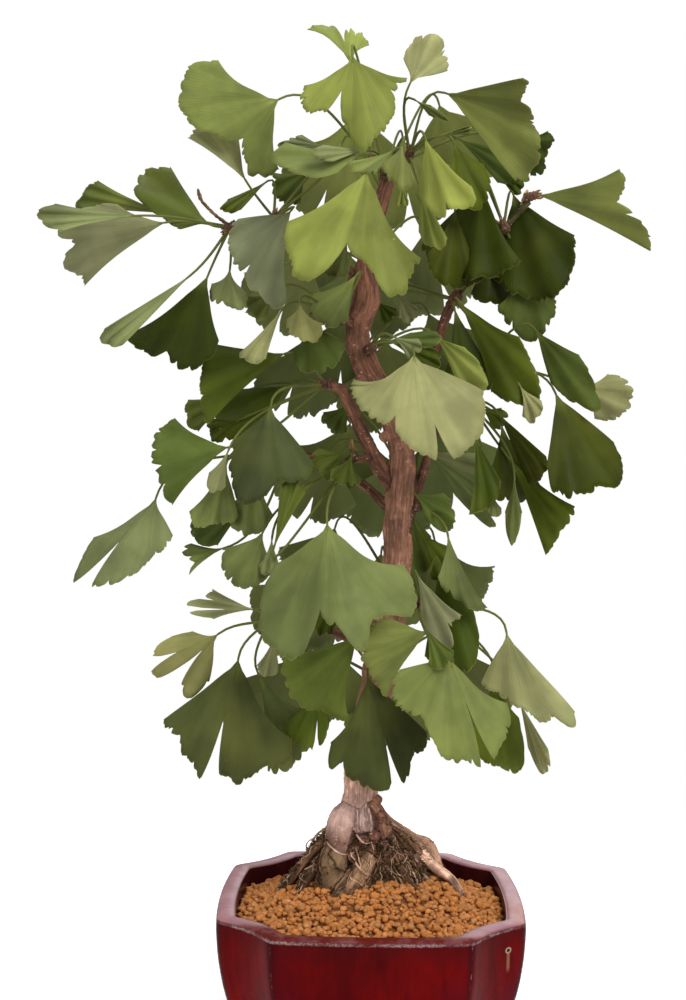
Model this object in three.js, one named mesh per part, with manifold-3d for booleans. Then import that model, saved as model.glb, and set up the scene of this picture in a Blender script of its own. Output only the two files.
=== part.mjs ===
// Ginkgo bonsai in a glazed square pot with cut corners.
//
// Millimetres, +Z up, the front of the tree faces -Y. The origin is the centre of the pot's underside.
// The pieces are the pot, two drain nets, the soil, the wood (roots, trunk and branches grown as one)
// and the sprays of leaves, each spray being the leaves and stalks that grow from one spur.
import * as THREE from 'three';
import { mergeVertices } from 'three/addons/utils/BufferGeometryUtils.js';
import Module from 'manifold-3d';

const wasm = await Module();
wasm.setup();

// ---------------------------------------------------------------- driving dimensions
const GAP = 0.3;                // clear space between neighbouring pieces
const WOOD_GAP = 0.35;          // the same around the wood

const POT_HEIGHT = 60.8;
const POT_HALF = 68.3;          // half the width over the rim
const POT_DEPTH_SHARE = 0.975;  // front to back it is a little less
const POT_FLAT = 42.5;          // half the length of a straight side at the rim
const SIDE_BOW = 2.2;           // how far a side bows out
const CORNER_DIP = 2.6;         // how far a cut corner is hollowed
const SIDE_STEPS = 3;
const CORNER_STEPS = 3;
// height and inset from the rim's outer edge, up the outside
const OUTER_PROFILE = [
  [4, 27], [6, 18.5], [11, 11.5], [19, 6.4], [30, 3.1], [42, 1], [56, 0], [60.2, 0.6],
];
// height and inset, over the rim and down the inside
const INNER_PROFILE = [
  [60.8, 2.2], [60.6, 6.6], [58.8, 8.2], [45, 9.4], [30, 11.6], [19, 15.5], [12, 21], [9, 27],
];
const POT_FLOOR = 9;
const FOOT_HALF = 42;
const FOOT_FLAT = 28;
const FOOT_TOP = 6;
const DRAIN_X = 22;             // the two drain holes stand left and right of the centre
const DRAIN_RADIUS = 5;
const CHANNEL_WIDTH = 12;       // channels under the foot let the water out
const CHANNEL_DEPTH = 3.5;

const NET_SIZE = 18;
const NET_THICK = 0.8;
const NET_HOLES = 2;            // holes along each side of a net
const NET_HOLE = 5.5;

const SOIL_EDGE = 54;           // height of the soil's surface at the wall
const SOIL_MOUND = 15.5;        // how much higher it stands around the roots
const SOIL_MOUND_Y = -2;
const MOUND_REACH_X = 47;       // the mound is broad from side to side and short from front to back
const MOUND_REACH_Y = 34;
const GRAIN = 10;               // size of the soil's grains
const GRAIN_RELIEF = 1.5;

const BLADE_THICK = 0.72;
const BLADE_MID = 0.55;         // where the ring between stalk and rim lies
const BLADE_NECK = 0.2;         // how much slimmer a blade is near its stalk
const BLADE_WAVE = 1.5;
const TOOTH = 0.03;             // the rim's teeth, as a share of the radius
const STALK_RADIUS = 0.9;
const BROAD_SPREAD = 45;        // blades of a wider spread have points halfway
const STALK_STEPS = 3;
const SPUR_RADIUS = 3.6;

// The leaves are laid out in the tree's front elevation, the picture it makes for an eye at VIEW.
// A point of the elevation slides along its sight line to its own depth.
const VIEW = [-5, -594, 248];

// ---------------------------------------------------------------- wood
// Each path is a run of [x, y, z, radius].
const WOOD = {
  "trunk": [
    [-6.5, 0, 62, 10], [-6.5, 0, 88, 9.4], [-6, 0, 97, 8.7], [-5.2, 0, 103, 7.8], [-4.8, 0, 110, 7.5],
    [-4.2, 0, 118, 7.4], [-3.2, 0, 128, 7.3], [0, 1, 145, 7.2], [4, 2, 165, 7], [8, 3, 185, 6.8],
    [11, 3, 210, 6.5], [11.5, 2, 228, 6.2], [12, 1, 245, 6], [13, 0, 260, 5.6], [9.5, 0, 273, 5],
    [4, -1, 286, 5.2], [-4, -2, 300, 5.6], [-8, -2, 315, 5], [-4, -1, 331, 5.6], [-4, 0, 346, 4.4],
    [-1, 1, 361, 3.8], [3, 1, 376, 3.2], [8, 0, 392, 2.8],
  ],
  "left branch": [
    [9, 1, 246, 4], [3, 0, 254, 3.6], [-4, -1, 267, 3.1], [-10, -1, 280, 2.8], [-15, -2, 289, 2.4],
    [-22, -2, 292, 2],
  ],
  "right stem": [
    [13, 2, 222, 3], [18, 2, 238, 2.4], [22, 2, 250, 2.1], [25, 3, 262, 2], [27, 4, 278, 2],
    [27, 4, 296, 2], [29, 3, 312, 2.2], [33, 2, 325, 2.4], [37, 2, 334, 2],
  ],
  "left arm": [
    [-5, 0, 334, 3], [-18, 4, 350, 2.4], [-33, 6, 360, 2.1], [-48, 5, 366, 1.8], [-66, 6, 363, 1.5],
  ],
  "small branch": [[-7, -3, 311, 2.4], [-11, -5, 319, 2], [-16, -7, 322, 1.6]],
  "right arm": [[35, 2, 330, 2], [46, 6, 346, 1.8], [58, 6, 363, 1.6], [70, 4, 376, 1.3]],
  "right shoulder": [[27, 4, 286, 1.9], [39, 6, 297, 1.7], [50, 6, 303, 1.5]],
  "inner right": [[25, 3, 264, 1.9], [33, 6, 277, 1.7], [42, 7, 286, 1.5]],
  "low left": [[4, 1, 168, 2.6], [-14, 0, 178, 2.1], [-30, -1, 183, 1.8], [-46, -2, 184, 1.5]],
  "outer left": [[11, 3, 232, 2.6], [-4, 7, 246, 2.1], [-20, 8, 256, 1.8], [-38, 4, 262, 1.5]],
  "front twig": [[-1, -1, 259, 2], [-6, -5, 258, 1.7], [-10, -8, 258, 1.5]],
  "low right": [[9, 2, 189, 2.4], [16, -1, 192, 2], [22, -4, 192, 1.6]],
};

const ROOTS = {
  "left shoulder": [
    [-9, -1, 99, 4.6], [-12, -4.5, 95.5, 6.4], [-13, -7.5, 90, 7.2], [-13, -9, 84.5, 6.6],
    [-13.5, -10.5, 79, 5], [-16, -12, 72, 3.4], [-17, -13, 62, 2.6],
  ],
  "left end": [
    [-15, -10, 83, 4.6], [-16.5, -13, 78.5, 5.2], [-17.5, -14.5, 74, 4.8], [-18.5, -15, 62, 3],
  ],
  "middle": [
    [-4, -5, 97, 4.4], [-3.5, -8, 91, 5], [-0.5, -9.5, 85, 4.4], [0, -10.5, 79, 3.8], [1, -11, 72, 3.2],
    [1, -12, 62, 2.4],
  ],
  "front": [
    [-1, -9, 84, 3.4], [-1.5, -13, 79.5, 3.8], [-4, -16, 74.5, 4], [-8, -18.5, 69.5, 4],
    [-12.5, -20.5, 64.5, 3.8], [-16, -22, 57, 3],
  ],
  "right knob": [
    [0, -2, 101, 3.4], [3.4, -4.5, 97, 3.6], [5, -6, 91.5, 4], [6.5, -7.5, 85, 3.4], [8, -9, 77, 2.8],
    [9, -10, 62, 2],
  ],
  "right": [
    [1, 0, 95, 4.6], [8, 1, 91, 3.6], [14, 2, 87.5, 3.1], [20, 2, 84, 2.9], [25.5, 3, 81.5, 3.3],
    [28.5, 2, 77.5, 2.8], [31, 0, 70, 2.4], [33, -1, 60, 2],
  ],
  "right front": [
    [6, -5, 88, 3.2], [11, -7, 82, 2.8], [15.5, -8.5, 76, 2.4], [19, -10, 70, 2], [22, -11, 58, 1.6],
  ],
  "right end": [
    [22, 0, 79, 2.8], [27, -2, 74.5, 2.4], [32, -3, 71, 2.3], [37, -4, 67.5, 2], [41, -5, 62, 1.6],
    [43, -5, 56, 1.4],
  ],
  "left": [
    [-14, 2, 88, 5], [-20, 2, 80.5, 3.6], [-26, 1, 74.5, 2.8], [-32.5, -1, 69, 2.4], [-38, -3, 65, 2],
    [-42, -5, 57, 1.6],
  ],
  "left front": [
    [-17, -6, 80, 3.4], [-23, -9, 74.5, 2.8], [-28.5, -11.5, 69.5, 2.4], [-32, -13, 60, 1.8],
  ],
  "back left": [[-9, 4, 92, 5], [-16, 11, 82, 4.2], [-22, 17, 72, 3.2], [-27, 22, 58, 2.4]],
  "back": [[-2, 4, 94, 5], [2, 12, 83, 4.2], [5, 18, 72, 3.2], [7, 24, 58, 2.4]],
  "back right": [[3, 3, 94, 4.6], [12, 8, 84, 3.8], [20, 13, 74, 3.2], [27, 17, 58, 2.4]],
};

// Twigs and closed buds.
const TWIGS = {
  "left bud twig": [
    [-64, 6, 363, 1.1], [-72, 7, 368.5, 0.8], [-79, 6, 375, 0.8], [-81, 6, 379, 1],
    [-81.5, 6, 382, 0.6],
  ],
  "hanging bud": [[-29, -1, 183, 1.4], [-31, -3, 177, 1.1], [-31, -4, 171, 1.6], [-30, -4, 165, 0.8]],
  "inner bud": [[-8, -3, 261, 1.4], [-10, -6, 264, 1.3], [-10, -7, 267, 0.8]],
  "right bracts": [[67, 5, 373, 1.1], [68, 6, 377.5, 1.2], [69.5, 6, 382, 0.6]],
};

// The lump of fine roots, moss and old soil between the thick roots: [height, radius] of its profile.
const ROOT_LUMP = [[54, 36], [62, 34], [70, 30], [78, 23], [86, 15], [93, 8]];
const ROOT_LUMP_X = -3;
const ROOT_LUMP_Y = 1;
const ROOT_LUMP_DEPTH = 0.62;   // its depth as a share of its width
const FINE_ROOTS = 8;

// ---------------------------------------------------------------- leaves of the front
// Each spray grows from its spur [x', z', y] in the front elevation. Each leaf is a row of
// its name, the blade's foot [x', z', y], its heading and spread in degrees, the rim's radii from
// one side of the fan to the other, the notches [place, depth left, half width], its pose
// [tilt towards the front, roll, cup, curl] and its tone.
const SPRAYS = {
  "crown_front": {
    "spur": [4, 388, -6],
    "leaves": [
      ["A3", [-11, 441, -22], 275, 125, [26, 31.6, 32.3, 28, 27, 31.5, 43.5, 39, 36, 32, 26, 24.5, 27],
       [[-0.35, 0.62, 0.13]], [20, 10, -6, -4], "L"],
      ["A5", [-4, 398, -24], 186, 26, [20, 24, 24, 20, 16], [], [30, 45, 0, 0], "L"],
      ["A6", [-6, 396, -28], 194, 46, [36, 41, 33, 24, 14], [], [10, 40, 0, 0], "L"],
      ["A7", [8, 398, -30], 216, 44, [22, 21, 17, 14, 12], [], [30, 30, 0, 0], "L"],
      ["A11", [-4, 389, -38], 257.5, 89, [43, 49, 52, 58, 57, 55, 48, 42, 45, 57, 58, 50, 47],
       [[-0.06, 0.68, 0.3]], [24, 5, -8, -4], "Y"],
      ["B10", [12, 401, -34], 256, 66, [13, 15, 18, 21, 18], [], [30, 0, 0, 0], "G"],
      ["B11", [12, 384, -32], 270, 40, [9, 11, 11, 11, 9], [], [20, 0, 0, 0], "Y"],
    ],
  },
  "crown_left": {
    "spur": [-1, 392, 1],
    "leaves": [
      ["A4", [-12, 437, -14], 93, 98, [12, 14, 15, 19, 25], [[0.25, 0.6, 0.15]], [-35, 0, -3, -2], "L"],
      ["A1", [-44, 421, -14], 209, 122, [33, 42.5, 44.5, 45, 44.5, 40, 33.5, 31, 28, 31, 36.5, 35, 32],
       [[0.3, 0.85, 0.1]], [10, -20, -7, -5], "Y"],
    ],
  },
  "crown_right": {
    "spur": [15, 396, -2],
    "leaves": [
      ["B1", [15, 428, -6], 62, 86, [18, 21, 25, 20, 12], [], [-15, 30, 5, 0], "L"],
      ["B2", [31, 424, -8], -20, 62, [51, 54, 52, 52.5, 50, 47, 43.3, 41, 38.5, 34, 36, 37.5, 36], [],
       [5, 30, 10, -3], "L"],
      ["B5", [17, 421, -16], -32, 30, [10, 14, 17, 12, 8], [], [20, 30, 0, 0], "L"],
      ["B6", [26, 404, -14], 12, 14, [16, 17, 17], [], [10, 50, 0, 0], "L"],
      ["B8", [22, 404, -26], -72, 52, [27, 29.5, 31, 33, 36, 38, 33.5, 35, 36.2, 37.2, 37.6, 36.8, 31],
       [[0, 0.92, 0.06]], [25, 15, -4, -3], "Y"],
      ["B12", [20, 381, -16], -76, 30, [20, 25, 28, 29, 26], [], [20, 30, 0, 0], "Y"],
    ],
  },
  "crown_back": {
    "spur": [11, 393, 6],
    "leaves": [
      ["B3", [36, 404, 8], -30, 34, [28, 34, 36, 34, 28], [], [-10, 20, 0, 0], "D"],
      ["B4", [60, 404, 20], -25, 70, [20, 22, 18, 20, 18], [], [-20, 30, 0, 0], "D"],
      ["B9", [35, 402, -8], -68, 64, [20, 28, 32, 27, 17], [], [15, -20, -4, 0], "M"],
    ],
  },
  "upper_left": {
    "spur": [-46, 367, 4],
    "leaves": [
      ["A8", [-22, 399, 6], 167, 28, [13, 15, 18, 21, 22], [], [0, 40, 0, 0], "G"],
      ["A9", [-49, 384, 4], 216, 22, [20, 24, 24, 22, 18], [], [10, 50, 0, 0], "D"],
      ["A10", [-30, 389, 10], 220, 70, [16, 18, 20, 18, 16], [], [-15, 32, 0, 0], "D"],
      ["A2", [-59, 384, -2], 122, 44, [24, 28, 30, 32, 33], [], [10, 30, -3, 0], "Y"],
      ["E1", [-38, 371, -8], 229, 78, [25, 28.5, 31.3, 32.4, 34, 35.5, 35.5, 37, 41, 40, 44, 45.5, 41],
       [[0.1, 0.86, 0.06]], [15, -15, -5, -3], "G"],
    ],
  },
  "tip_left": {
    "spur": [-66, 363, 6],
    "leaves": [
      ["E2", [-66, 344, -2], 263, 92, [11, 16, 16, 19, 13], [], [10, 25, -2, 0], "M"],
      ["C1", [-95, 365, 2], 189, 58, [24, 31, 36.6, 43, 47, 49, 49, 43, 49.5, 51, 47.5, 45.5, 47.5],
       [[0.05, 0.92, 0.06]], [10, -25, -5, -3], "W"],
      ["C1b", [-108, 368, -10], 182, 20, [38, 45, 45, 42, 36], [], [10, 30, 0, 0], "L"],
      ["C2", [-96, 369, 14], 166, 24, [34, 36, 38, 40, 40], [], [-20, 30, 0, 0], "D"],
      ["C3", [-75, 364, 4], 157, 64, [32, 38, 37, 22, 14], [], [-8, 30, -4, 0], "M"],
      ["C4", [-76, 341, 2], 248, 64, [47, 46.5, 46, 45, 42.8, 39.5, 42.5, 43.5, 43.5, 41.7, 39, 36, 30],
       [], [14, 32, -5, -3], "K"],
      ["C4b", [-84, 341, 0], 219, 14, [46, 50, 50, 48, 44], [], [12, 35, 0, 0], "G"],
    ],
  },
  "arm_left": {
    "spur": [-16, 322, -7],
    "leaves": [
      ["E3", [-8, 342, -10], 232, 56, [22, 26, 28, 26, 22], [], [20, 22, -2, 0], "M"],
      ["E4", [-34, 329, -24], 273, 90, [10, 14, 17, 19, 14], [], [20, 0, -3, -2], "L"],
      ["E5", [-42, 326, -20], 239, 26, [28, 29, 28, 27, 24], [], [20, 40, 0, 0], "P"],
      ["E6", [-30, 322, -14], 285, 80, [18, 24, 25, 24, 20], [], [20, 10, -3, 0], "M"],
      ["E7", [-44, 335, 2], 222, 55, [14, 16, 17, 17, 14], [], [5, 35, 0, 0], "D"],
      ["E11", [-12, 360, -6], 245, 50, [18, 20, 20, 20, 18], [], [20, 0, 0, 0], "D"],
    ],
  },
  "front_mid": {
    "spur": [-1, 309, -9],
    "leaves": [
      ["H1", [18, 306, -36], 267.5, 129,
       [30, 33.5, 34, 34.5, 34.5, 36, 42.5, 47, 51, 49.5, 47.5, 41, 36],
       [[-0.22, 0.83, 0.07], [0.3, 0.66, 0.07]], [28, 0, -8, -5], "P"],
      ["H2a", [3, 311, -21], 6, 26, [20, 26, 27, 24, 14], [], [20, -50, 0, 0], "M"],
      ["H2c", [6, 312, -16], -22, 30, [22, 26, 26, 24, 20], [], [10, -20, 0, 0], "D"],
      ["H2b", [27, 315, -17], -45, 44, [30, 34, 34, 26, 15], [], [20, 15, 0, 0], "G"],
      ["H3", [8, 314, -29], -30, 50, [12, 14, 14, 14, 12], [], [20, 0, 0, 0], "G"],
    ],
  },
  "tip_right": {
    "spur": [70.5, 377.5, 3],
    "leaves": [
      ["R1", [73, 378, 2], -4, 44, [57, 50, 37, 40, 39], [[-0.35, 0.88, 0.08]], [5, 35, 6, 0], "M"],
    ],
  },
  "upper_right": {
    "spur": [58, 364, 5],
    "leaves": [
      ["D5", [66, 345, 10], 278, 80, [20, 26, 33, 28, 22], [], [3, -12, -3, 0], "M"],
      ["D1", [50, 394, 18], -40, 25, [20, 21, 21, 20, 18], [], [-10, -35, 0, 0], "D"],
      ["D2", [62, 379, 9], -72, 76, [36, 42, 47, 51, 48, 41, 34], [], [10, 16, -5, 0], "K"],
      ["D3", [48, 384, 2], 262, 70, [40, 44, 44, 43, 40], [], [8, 22, -5, 0], "K"],
      ["D6", [36, 372, -4], 266, 56, [25, 32, 36, 36, 34], [], [8, -25, 0, 0], "D"],
      ["D4", [52, 362, 17], 285, 64, [30, 33, 34, 35, 32], [], [5, -36, -3, 0], "K"],
    ],
  },
  "arm_right": {
    "spur": [36, 331, 2],
    "leaves": [
      ["E8", [0, 331, 9], -50, 50, [11, 12, 12, 12, 11], [], [0, 20, 0, 0], "D"],
      ["E9", [10, 334, 11], -60, 50, [12, 14, 14, 14, 12], [], [0, -20, 0, 0], "D"],
      ["D8", [38, 330, -6], -50, 40, [44, 54, 58, 44, 32], [], [15, 15, -4, -3], "D"],
      ["D9", [36, 327, -4], -78, 44, [34, 36, 38, 40, 36], [], [14, -14, -4, 0], "K"],
      ["D13", [66, 292, -14], -60, 50, [14, 17, 17, 15, 12], [], [20, 0, 0, 0], "G"],
    ],
  },
  "shoulder_right": {
    "spur": [50, 304, 5],
    "leaves": [
      ["D10", [72, 318, -2], -51, 42, [27, 38, 47, 35, 24], [], [15, 26, -4, 0], "M"],
      ["D11", [92, 292, 5], -20, 84, [17, 23, 25, 24, 15], [], [0, 0, -3, 0], "P"],
      ["D12", [82, 289, -8], -68, 56, [34, 43.5, 45.5, 47.7, 48, 47, 48, 47.3, 50.2, 51, 47, 42.5, 35],
       [], [18, -28, -7, -3], "D"],
    ],
  },
  "inner_right": {
    "spur": [42, 286, 6],
    "leaves": [
      ["D14", [48, 282, 2], -30, 60, [12, 13, 13, 12, 10], [], [10, -30, 0, 0], "D"],
      ["D16", [56, 280, -6], -54, 24, [36, 36, 36, 34, 30], [], [11, 30, 0, 0], "K"],
      ["D17", [58, 274, 4], 278, 50, [26, 33, 35, 35, 34], [], [8, -38, -3, 0], "K"],
      ["D18", [62, 258, 0], -52, 34, [46, 42, 39, 38, 36], [], [8, 20, -4, 0], "K"],
      ["D19", [64, 250, -8], 269, 28, [16, 24, 31, 22, 16], [], [20, 55, 0, 0], "O"],
      ["D20", [54, 243, 0], -80, 50, [8, 10, 11, 10, 8], [], [10, -30, 0, 0], "G"],
      ["D21", [46, 269, -4], -77, 34, [36, 34, 33, 28, 24], [], [15, 15, 0, 0], "D"],
    ],
  },
  "branch_left": {
    "spur": [-22, 292, -2],
    "leaves": [
      ["G1", [-40, 306, 0], 198, 50, [36, 38, 41, 45, 48], [], [8, 25, -5, 0], "M"],
      ["G2", [-38, 292, 8], 214, 56, [34, 37, 38, 38, 36], [], [5, 32, -3, 0], "K"],
      ["G3", [-60, 288, 14], 205, 34, [25, 27, 28, 28, 27], [], [0, 38, 0, 0], "D"],
      ["G4", [-66, 263, -6], 189, 74, [28, 34, 35, 35, 37], [[0.17, 0.9, 0.08]], [12, 28, -5, -3], "M"],
      ["G5", [-47, 282, -24], 265, 84, [23, 28, 34, 39.5, 45.5, 45.7, 43, 36, 34.5, 36, 37, 36, 33.5],
       [], [22, -5, -6, -4], "S"],
      ["G6", [-60, 276, 2], 205, 50, [14, 16, 16, 16, 14], [], [5, 30, 0, 0], "K"],
      ["G7", [-66, 262, -14], 248, 36, [14, 19, 21, 19, 17], [], [10, 45, 0, 0], "Y"],
      ["G9", [-10, 284, 10], 230, 60, [14, 16, 16, 16, 14], [], [5, 30, 0, 0], "D"],
    ],
  },
  "outer_left": {
    "spur": [-38, 262, 3],
    "leaves": [
      ["G8", [-67, 256, -4], 258, 50, [28, 33, 28, 28, 25], [], [16, 30, -3, 0], "M"],
      ["G8b", [-54, 254, -8], 264, 54, [22, 29, 31, 29, 23], [], [15, 0, -3, 0], "M"],
      ["J1", [-99, 240, 0], 253.5, 81, [34, 54, 46, 37, 27, 23, 19], [[-0.57, 0.45, 0.1]],
       [12, 24, -6, -4], "O"],
      ["J3a", [-58, 236, 8], 212, 44, [24, 27, 28, 26, 22], [], [5, 36, 0, 0], "K"],
      ["J3b", [-68, 217, 4], 195, 46, [15, 19, 17, 15, 20], [], [10, 40, 0, 0], "O"],
    ],
  },
  "front_left": {
    "spur": [-10, 258, -8],
    "leaves": [
      ["K3", [-21, 229, -36], 275.5, 113, [31, 44, 57, 63, 64, 52, 46, 61, 50, 50.5, 57, 51, 40],
       [[-0.17, 0.76, 0.1]], [24, 0, -9, -6], "L"],
      ["G10a", [-12, 262, -16], 215, 80, [14, 16, 16, 16, 14], [], [20, 0, -2, 0], "M"],
      ["G10b", [-10, 260, -20], 255, 80, [12, 14, 14, 14, 12], [], [20, 0, -2, 0], "M"],
      ["G11", [-45, 218, -32], 72, 25, [28, 31, 32, 31, 28], [], [-10, 50, 0, 0], "M"],
      ["J4", [-50, 225, -20], 246, 84, [20, 26, 28, 24, 18], [], [22, -5, -4, -2], "M"],
      ["J4b", [-46, 222, -26], 265, 40, [14, 17, 17, 17, 14], [], [10, 0, 0, 0], "G"],
    ],
  },
  "low_left": {
    "spur": [-47.5, 184, -2.5],
    "leaves": [
      ["J5", [-53, 189, -4], 174, 38, [22, 23, 31, 29, 20], [[-0.32, 0.75, 0.1], [0.3, 0.45, 0.12]],
       [0, 10, 0, 0], "O"],
      ["J6", [-70, 178, -4], 217, 84, [12, 26, 34, 34, 28, 33, 22],
       [[-0.3, 0.6, 0.12], [0.2, 0.35, 0.2]], [5, 0, -3, 0], "O"],
      ["J8", [-44, 178, 4], 257, 36, [17, 19, 20, 19, 17], [], [5, 35, 0, 0], "O"],
      ["J9", [-61, 167, -10], 262, 84, [44.5, 45.7, 45.5, 51, 53.5, 59.5, 54, 57, 55, 51, 53, 52, 44.5],
       [[-0.12, 0.46, 0.1]], [15, 0, -8, -5], "M"],
      ["K2", [-52, 160, 2], -62, 44, [45, 46, 42, 36, 26], [], [6, -4, -3, 0], "D"],
    ],
  },
  "low_front": {
    "spur": [4, 182, -9],
    "leaves": [
      ["K4", [-6, 178, -20], 228, 72, [36, 39, 42, 39, 40], [], [15, -10, -5, -3], "M"],
      ["K6", [-18, 198, -9], 258, 34, [17, 20, 21, 19, 16], [], [5, 25, 0, 0], "D"],
      ["K7", [-24, 154, -6], 258, 60, [24, 28, 30, 26, 16], [[0.3, 0.5, 0.08]], [12, 28, 0, 0], "D"],
      ["N1", [-2, 160, -14], 279, 74, [35.5, 45.5, 43, 48, 50, 52.7, 53, 53, 50.5, 43.5, 43, 42, 38],
       [[0.17, 0.545, 0.08]], [15, 0, -7, -4], "D"],
    ],
  },
  "low_right": {
    "spur": [22, 192, -4],
    "leaves": [
      ["N3", [35, 170, -30], 259.5, 121,
       [24, 29.7, 31.5, 33.5, 32, 32.5, 40, 48.5, 50, 54, 48, 43.5, 35], [[0.5, 0.5, 0.06]],
       [24, 0, -8, -5], "L"],
      ["N2", [26, 180, -23], 200, 76, [20, 28, 33, 33, 36], [], [10, -20, -4, 0], "G"],
      ["N4", [24, 182, -29], -62, 45, [17, 20, 20, 20, 17], [], [20, 0, 0, 0], "M"],
      ["N5", [20, 206, -20], -64, 44, [22, 34, 37, 27, 28], [[0.3, 0.85, 0.08]], [15, 20, -3, 0], "G"],
      ["N6", [30, 212, -6], -76, 44, [44, 50, 52, 44, 27], [], [12, -6, -4, 0], "D"],
      ["N13", [61, 180, -6], 277.5, 67,
       [26, 27, 27.5, 28, 29.5, 31.5, 34.5, 36, 41.5, 44.5, 45.5, 52.5, 48], [], [12, 25, -6, -3], "W"],
      ["N14", [56, 160, 6], -86, 52, [36, 39, 42, 44, 22], [], [8, -36, -4, 0], "D"],
      ["N15", [67, 149, 0], -69, 20, [22, 33, 35, 33, 26], [], [10, 50, 0, 0], "O"],
    ],
  },
  "mid_right": {
    "spur": [20, 238, 2],
    "leaves": [
      ["N7", [34, 224, -12], -82, 42, [20, 25, 29, 36, 38], [], [15, -25, 0, 0], "G"],
      ["N8", [20, 227, 2], -52, 44, [24, 28, 28, 22, 16], [], [0, -6, 0, 0], "D"],
      ["N9", [16, 238, 12], -74, 38, [33, 34, 32, 24, 18], [], [5, -32, 0, 0], "D"],
      ["N10", [18, 243, -2], -32, 64, [15, 24, 22, 18, 14], [], [10, 10, -2, 0], "M"],
      ["N11", [24, 262, 11], -42, 30, [24, 46, 40, 38, 34], [], [0, 20, -3, 0], "D"],
      ["N12", [22, 262, 17], -22, 40, [34, 34, 34, 30, 24], [], [0, -38, -3, 0], "D"],
    ],
  },
};

// Leaves behind the trunk, one fan of them at each spur: [name, spur [x', z', y], how many,
// first and last bearing, reach, rise, seed].
const BACK_SPRAYS = [
  ["back_crown", [3, 380, 5], 4, -48, 46, 36, 25, 65],
  ["back_upper", [-4, 348, 5], 4, -75, 45, 38, 4, 20],
  ["back_shoulder", [-6, 306, 5], 4, -60, 60, 38, 6, 21],
  ["back_middle", [13, 254, 9], 4, -62, 30, 38, 8, 50],
  ["back_lower", [8, 204, 11], 4, -75, 38, 40, 8, 44],
  ["back_low", [2, 160, 10], 4, -78, 62, 38, 2, 63],
];
const BACK_LAYER = 13;          // every second leaf of a fan stands this much higher

// ---------------------------------------------------------------- colours
const POT_GLAZE = 0x5a0f12;
const NET_BLACK = 0x2b2b2b;
const SOIL_BROWN = 0xb86d35;
const BARK = 0x7d6455;
const TONES = {
  Y: 0x808b37, L: 0x717d39, M: 0x546525, D: 0x374b16, K: 0x2a3210,
  G: 0x6f784a, S: 0x4f5634, W: 0x80805a, P: 0x959760, O: 0x7b7d44,
};

// ---------------------------------------------------------------- solids from triangles
function solidFrom(points, triangles) {
  const vertProperties = new Float32Array(points.flat());
  const triVerts = new Uint32Array(triangles.flat());
  return new wasm.Manifold(new wasm.Mesh({ numProp: 3, vertProperties, triVerts }));
}

function solidOf(geometry, x = 0, y = 0, z = 0) {
  const bare = geometry.clone();
  bare.deleteAttribute('normal');
  bare.deleteAttribute('uv');
  bare.translate(x, y, z);
  const { attributes, index } = mergeVertices(bare, 1e-4);
  const vertProperties = attributes.position.array;
  return new wasm.Manifold(new wasm.Mesh({ numProp: 3, vertProperties, triVerts: new Uint32Array(index.array) }));
}

function joined(solids) {
  return solids.reduce((whole, solid) => whole.add(solid));
}

function largestBody(solid) {
  const bodies = solid.decompose();
  return bodies.reduce((best, body) => (body.volume() > best.volume() ? body : best));
}

function meshOf(name, solid, color, roughness, metalness = 0) {
  const { vertProperties, triVerts } = solid.getMesh();
  const geometry = new THREE.BufferGeometry();
  geometry.setAttribute('position', new THREE.BufferAttribute(new Float32Array(vertProperties), 3));
  geometry.setIndex(new THREE.BufferAttribute(new Uint32Array(triVerts), 1));
  const mesh = new THREE.Mesh(geometry, new THREE.MeshStandardMaterial({ color, roughness, metalness }));
  mesh.name = name;
  return mesh;
}

// A closed skin over rings of equally many points, from the first ring to the last.
function loft(rings) {
  const count = rings[0].length;
  const points = rings.flat();
  const triangles = [];
  for (let ring = 0; ring < rings.length - 1; ring += 1) {
    for (let side = 0; side < count; side += 1) {
      const a = ring * count + side;
      const b = ring * count + ((side + 1) % count);
      triangles.push([a, b, b + count], [a, b + count, a + count]);
    }
  }
  const ends = [[rings[0], 0], [rings[rings.length - 1], (rings.length - 1) * count]];
  ends.forEach(([ring, start], end) => {
    const centre = points.length;
    points.push([0, 1, 2].map((axis) => ring.reduce((sum, point) => sum + point[axis], 0) / count));
    for (let side = 0; side < count; side += 1) {
      const a = start + side;
      const b = start + ((side + 1) % count);
      triangles.push(end === 0 ? [centre, b, a] : [centre, a, b]);
    }
  });
  return solidFrom(points, triangles);
}

// A tapered tube through path points [x, y, z, radius], closed at both ends. `grow` makes it fatter.
function tube(path, sides, grow = 0) {
  const centres = path.map(([x, y, z]) => new THREE.Vector3(x, y, z));
  const along = centres.map((point, i) => {
    const before = centres[Math.max(i - 1, 0)];
    const after = centres[Math.min(i + 1, centres.length - 1)];
    return after.clone().sub(before).normalize();
  });
  centres[0].addScaledVector(along[0], -grow);
  centres[centres.length - 1].addScaledVector(along[along.length - 1], grow);
  const start = Math.abs(along[0].y) < 0.9 ? new THREE.Vector3(0, -1, 0) : new THREE.Vector3(1, 0, 0);
  let across = start.addScaledVector(along[0], -start.dot(along[0])).normalize();
  const rings = centres.map((centre, i) => {
    across = across.clone().addScaledVector(along[i], -across.dot(along[i])).normalize();
    const up = new THREE.Vector3().crossVectors(along[i], across);
    const radius = path[i][3] + grow;
    return Array.from({ length: sides }, (_, side) => {
      const angle = (side / sides) * Math.PI * 2;
      return centre.clone()
        .addScaledVector(across, radius * Math.cos(angle))
        .addScaledVector(up, radius * Math.sin(angle))
        .toArray();
    });
  });
  return loft(rings);
}

// Seeded random numbers from 0 to 1.
function randomFrom(seed) {
  let state = seed >>> 0;
  return () => {
    state = (Math.imul(state, 1664525) + 1013904223) >>> 0;
    return state / 4294967296;
  };
}

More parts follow.
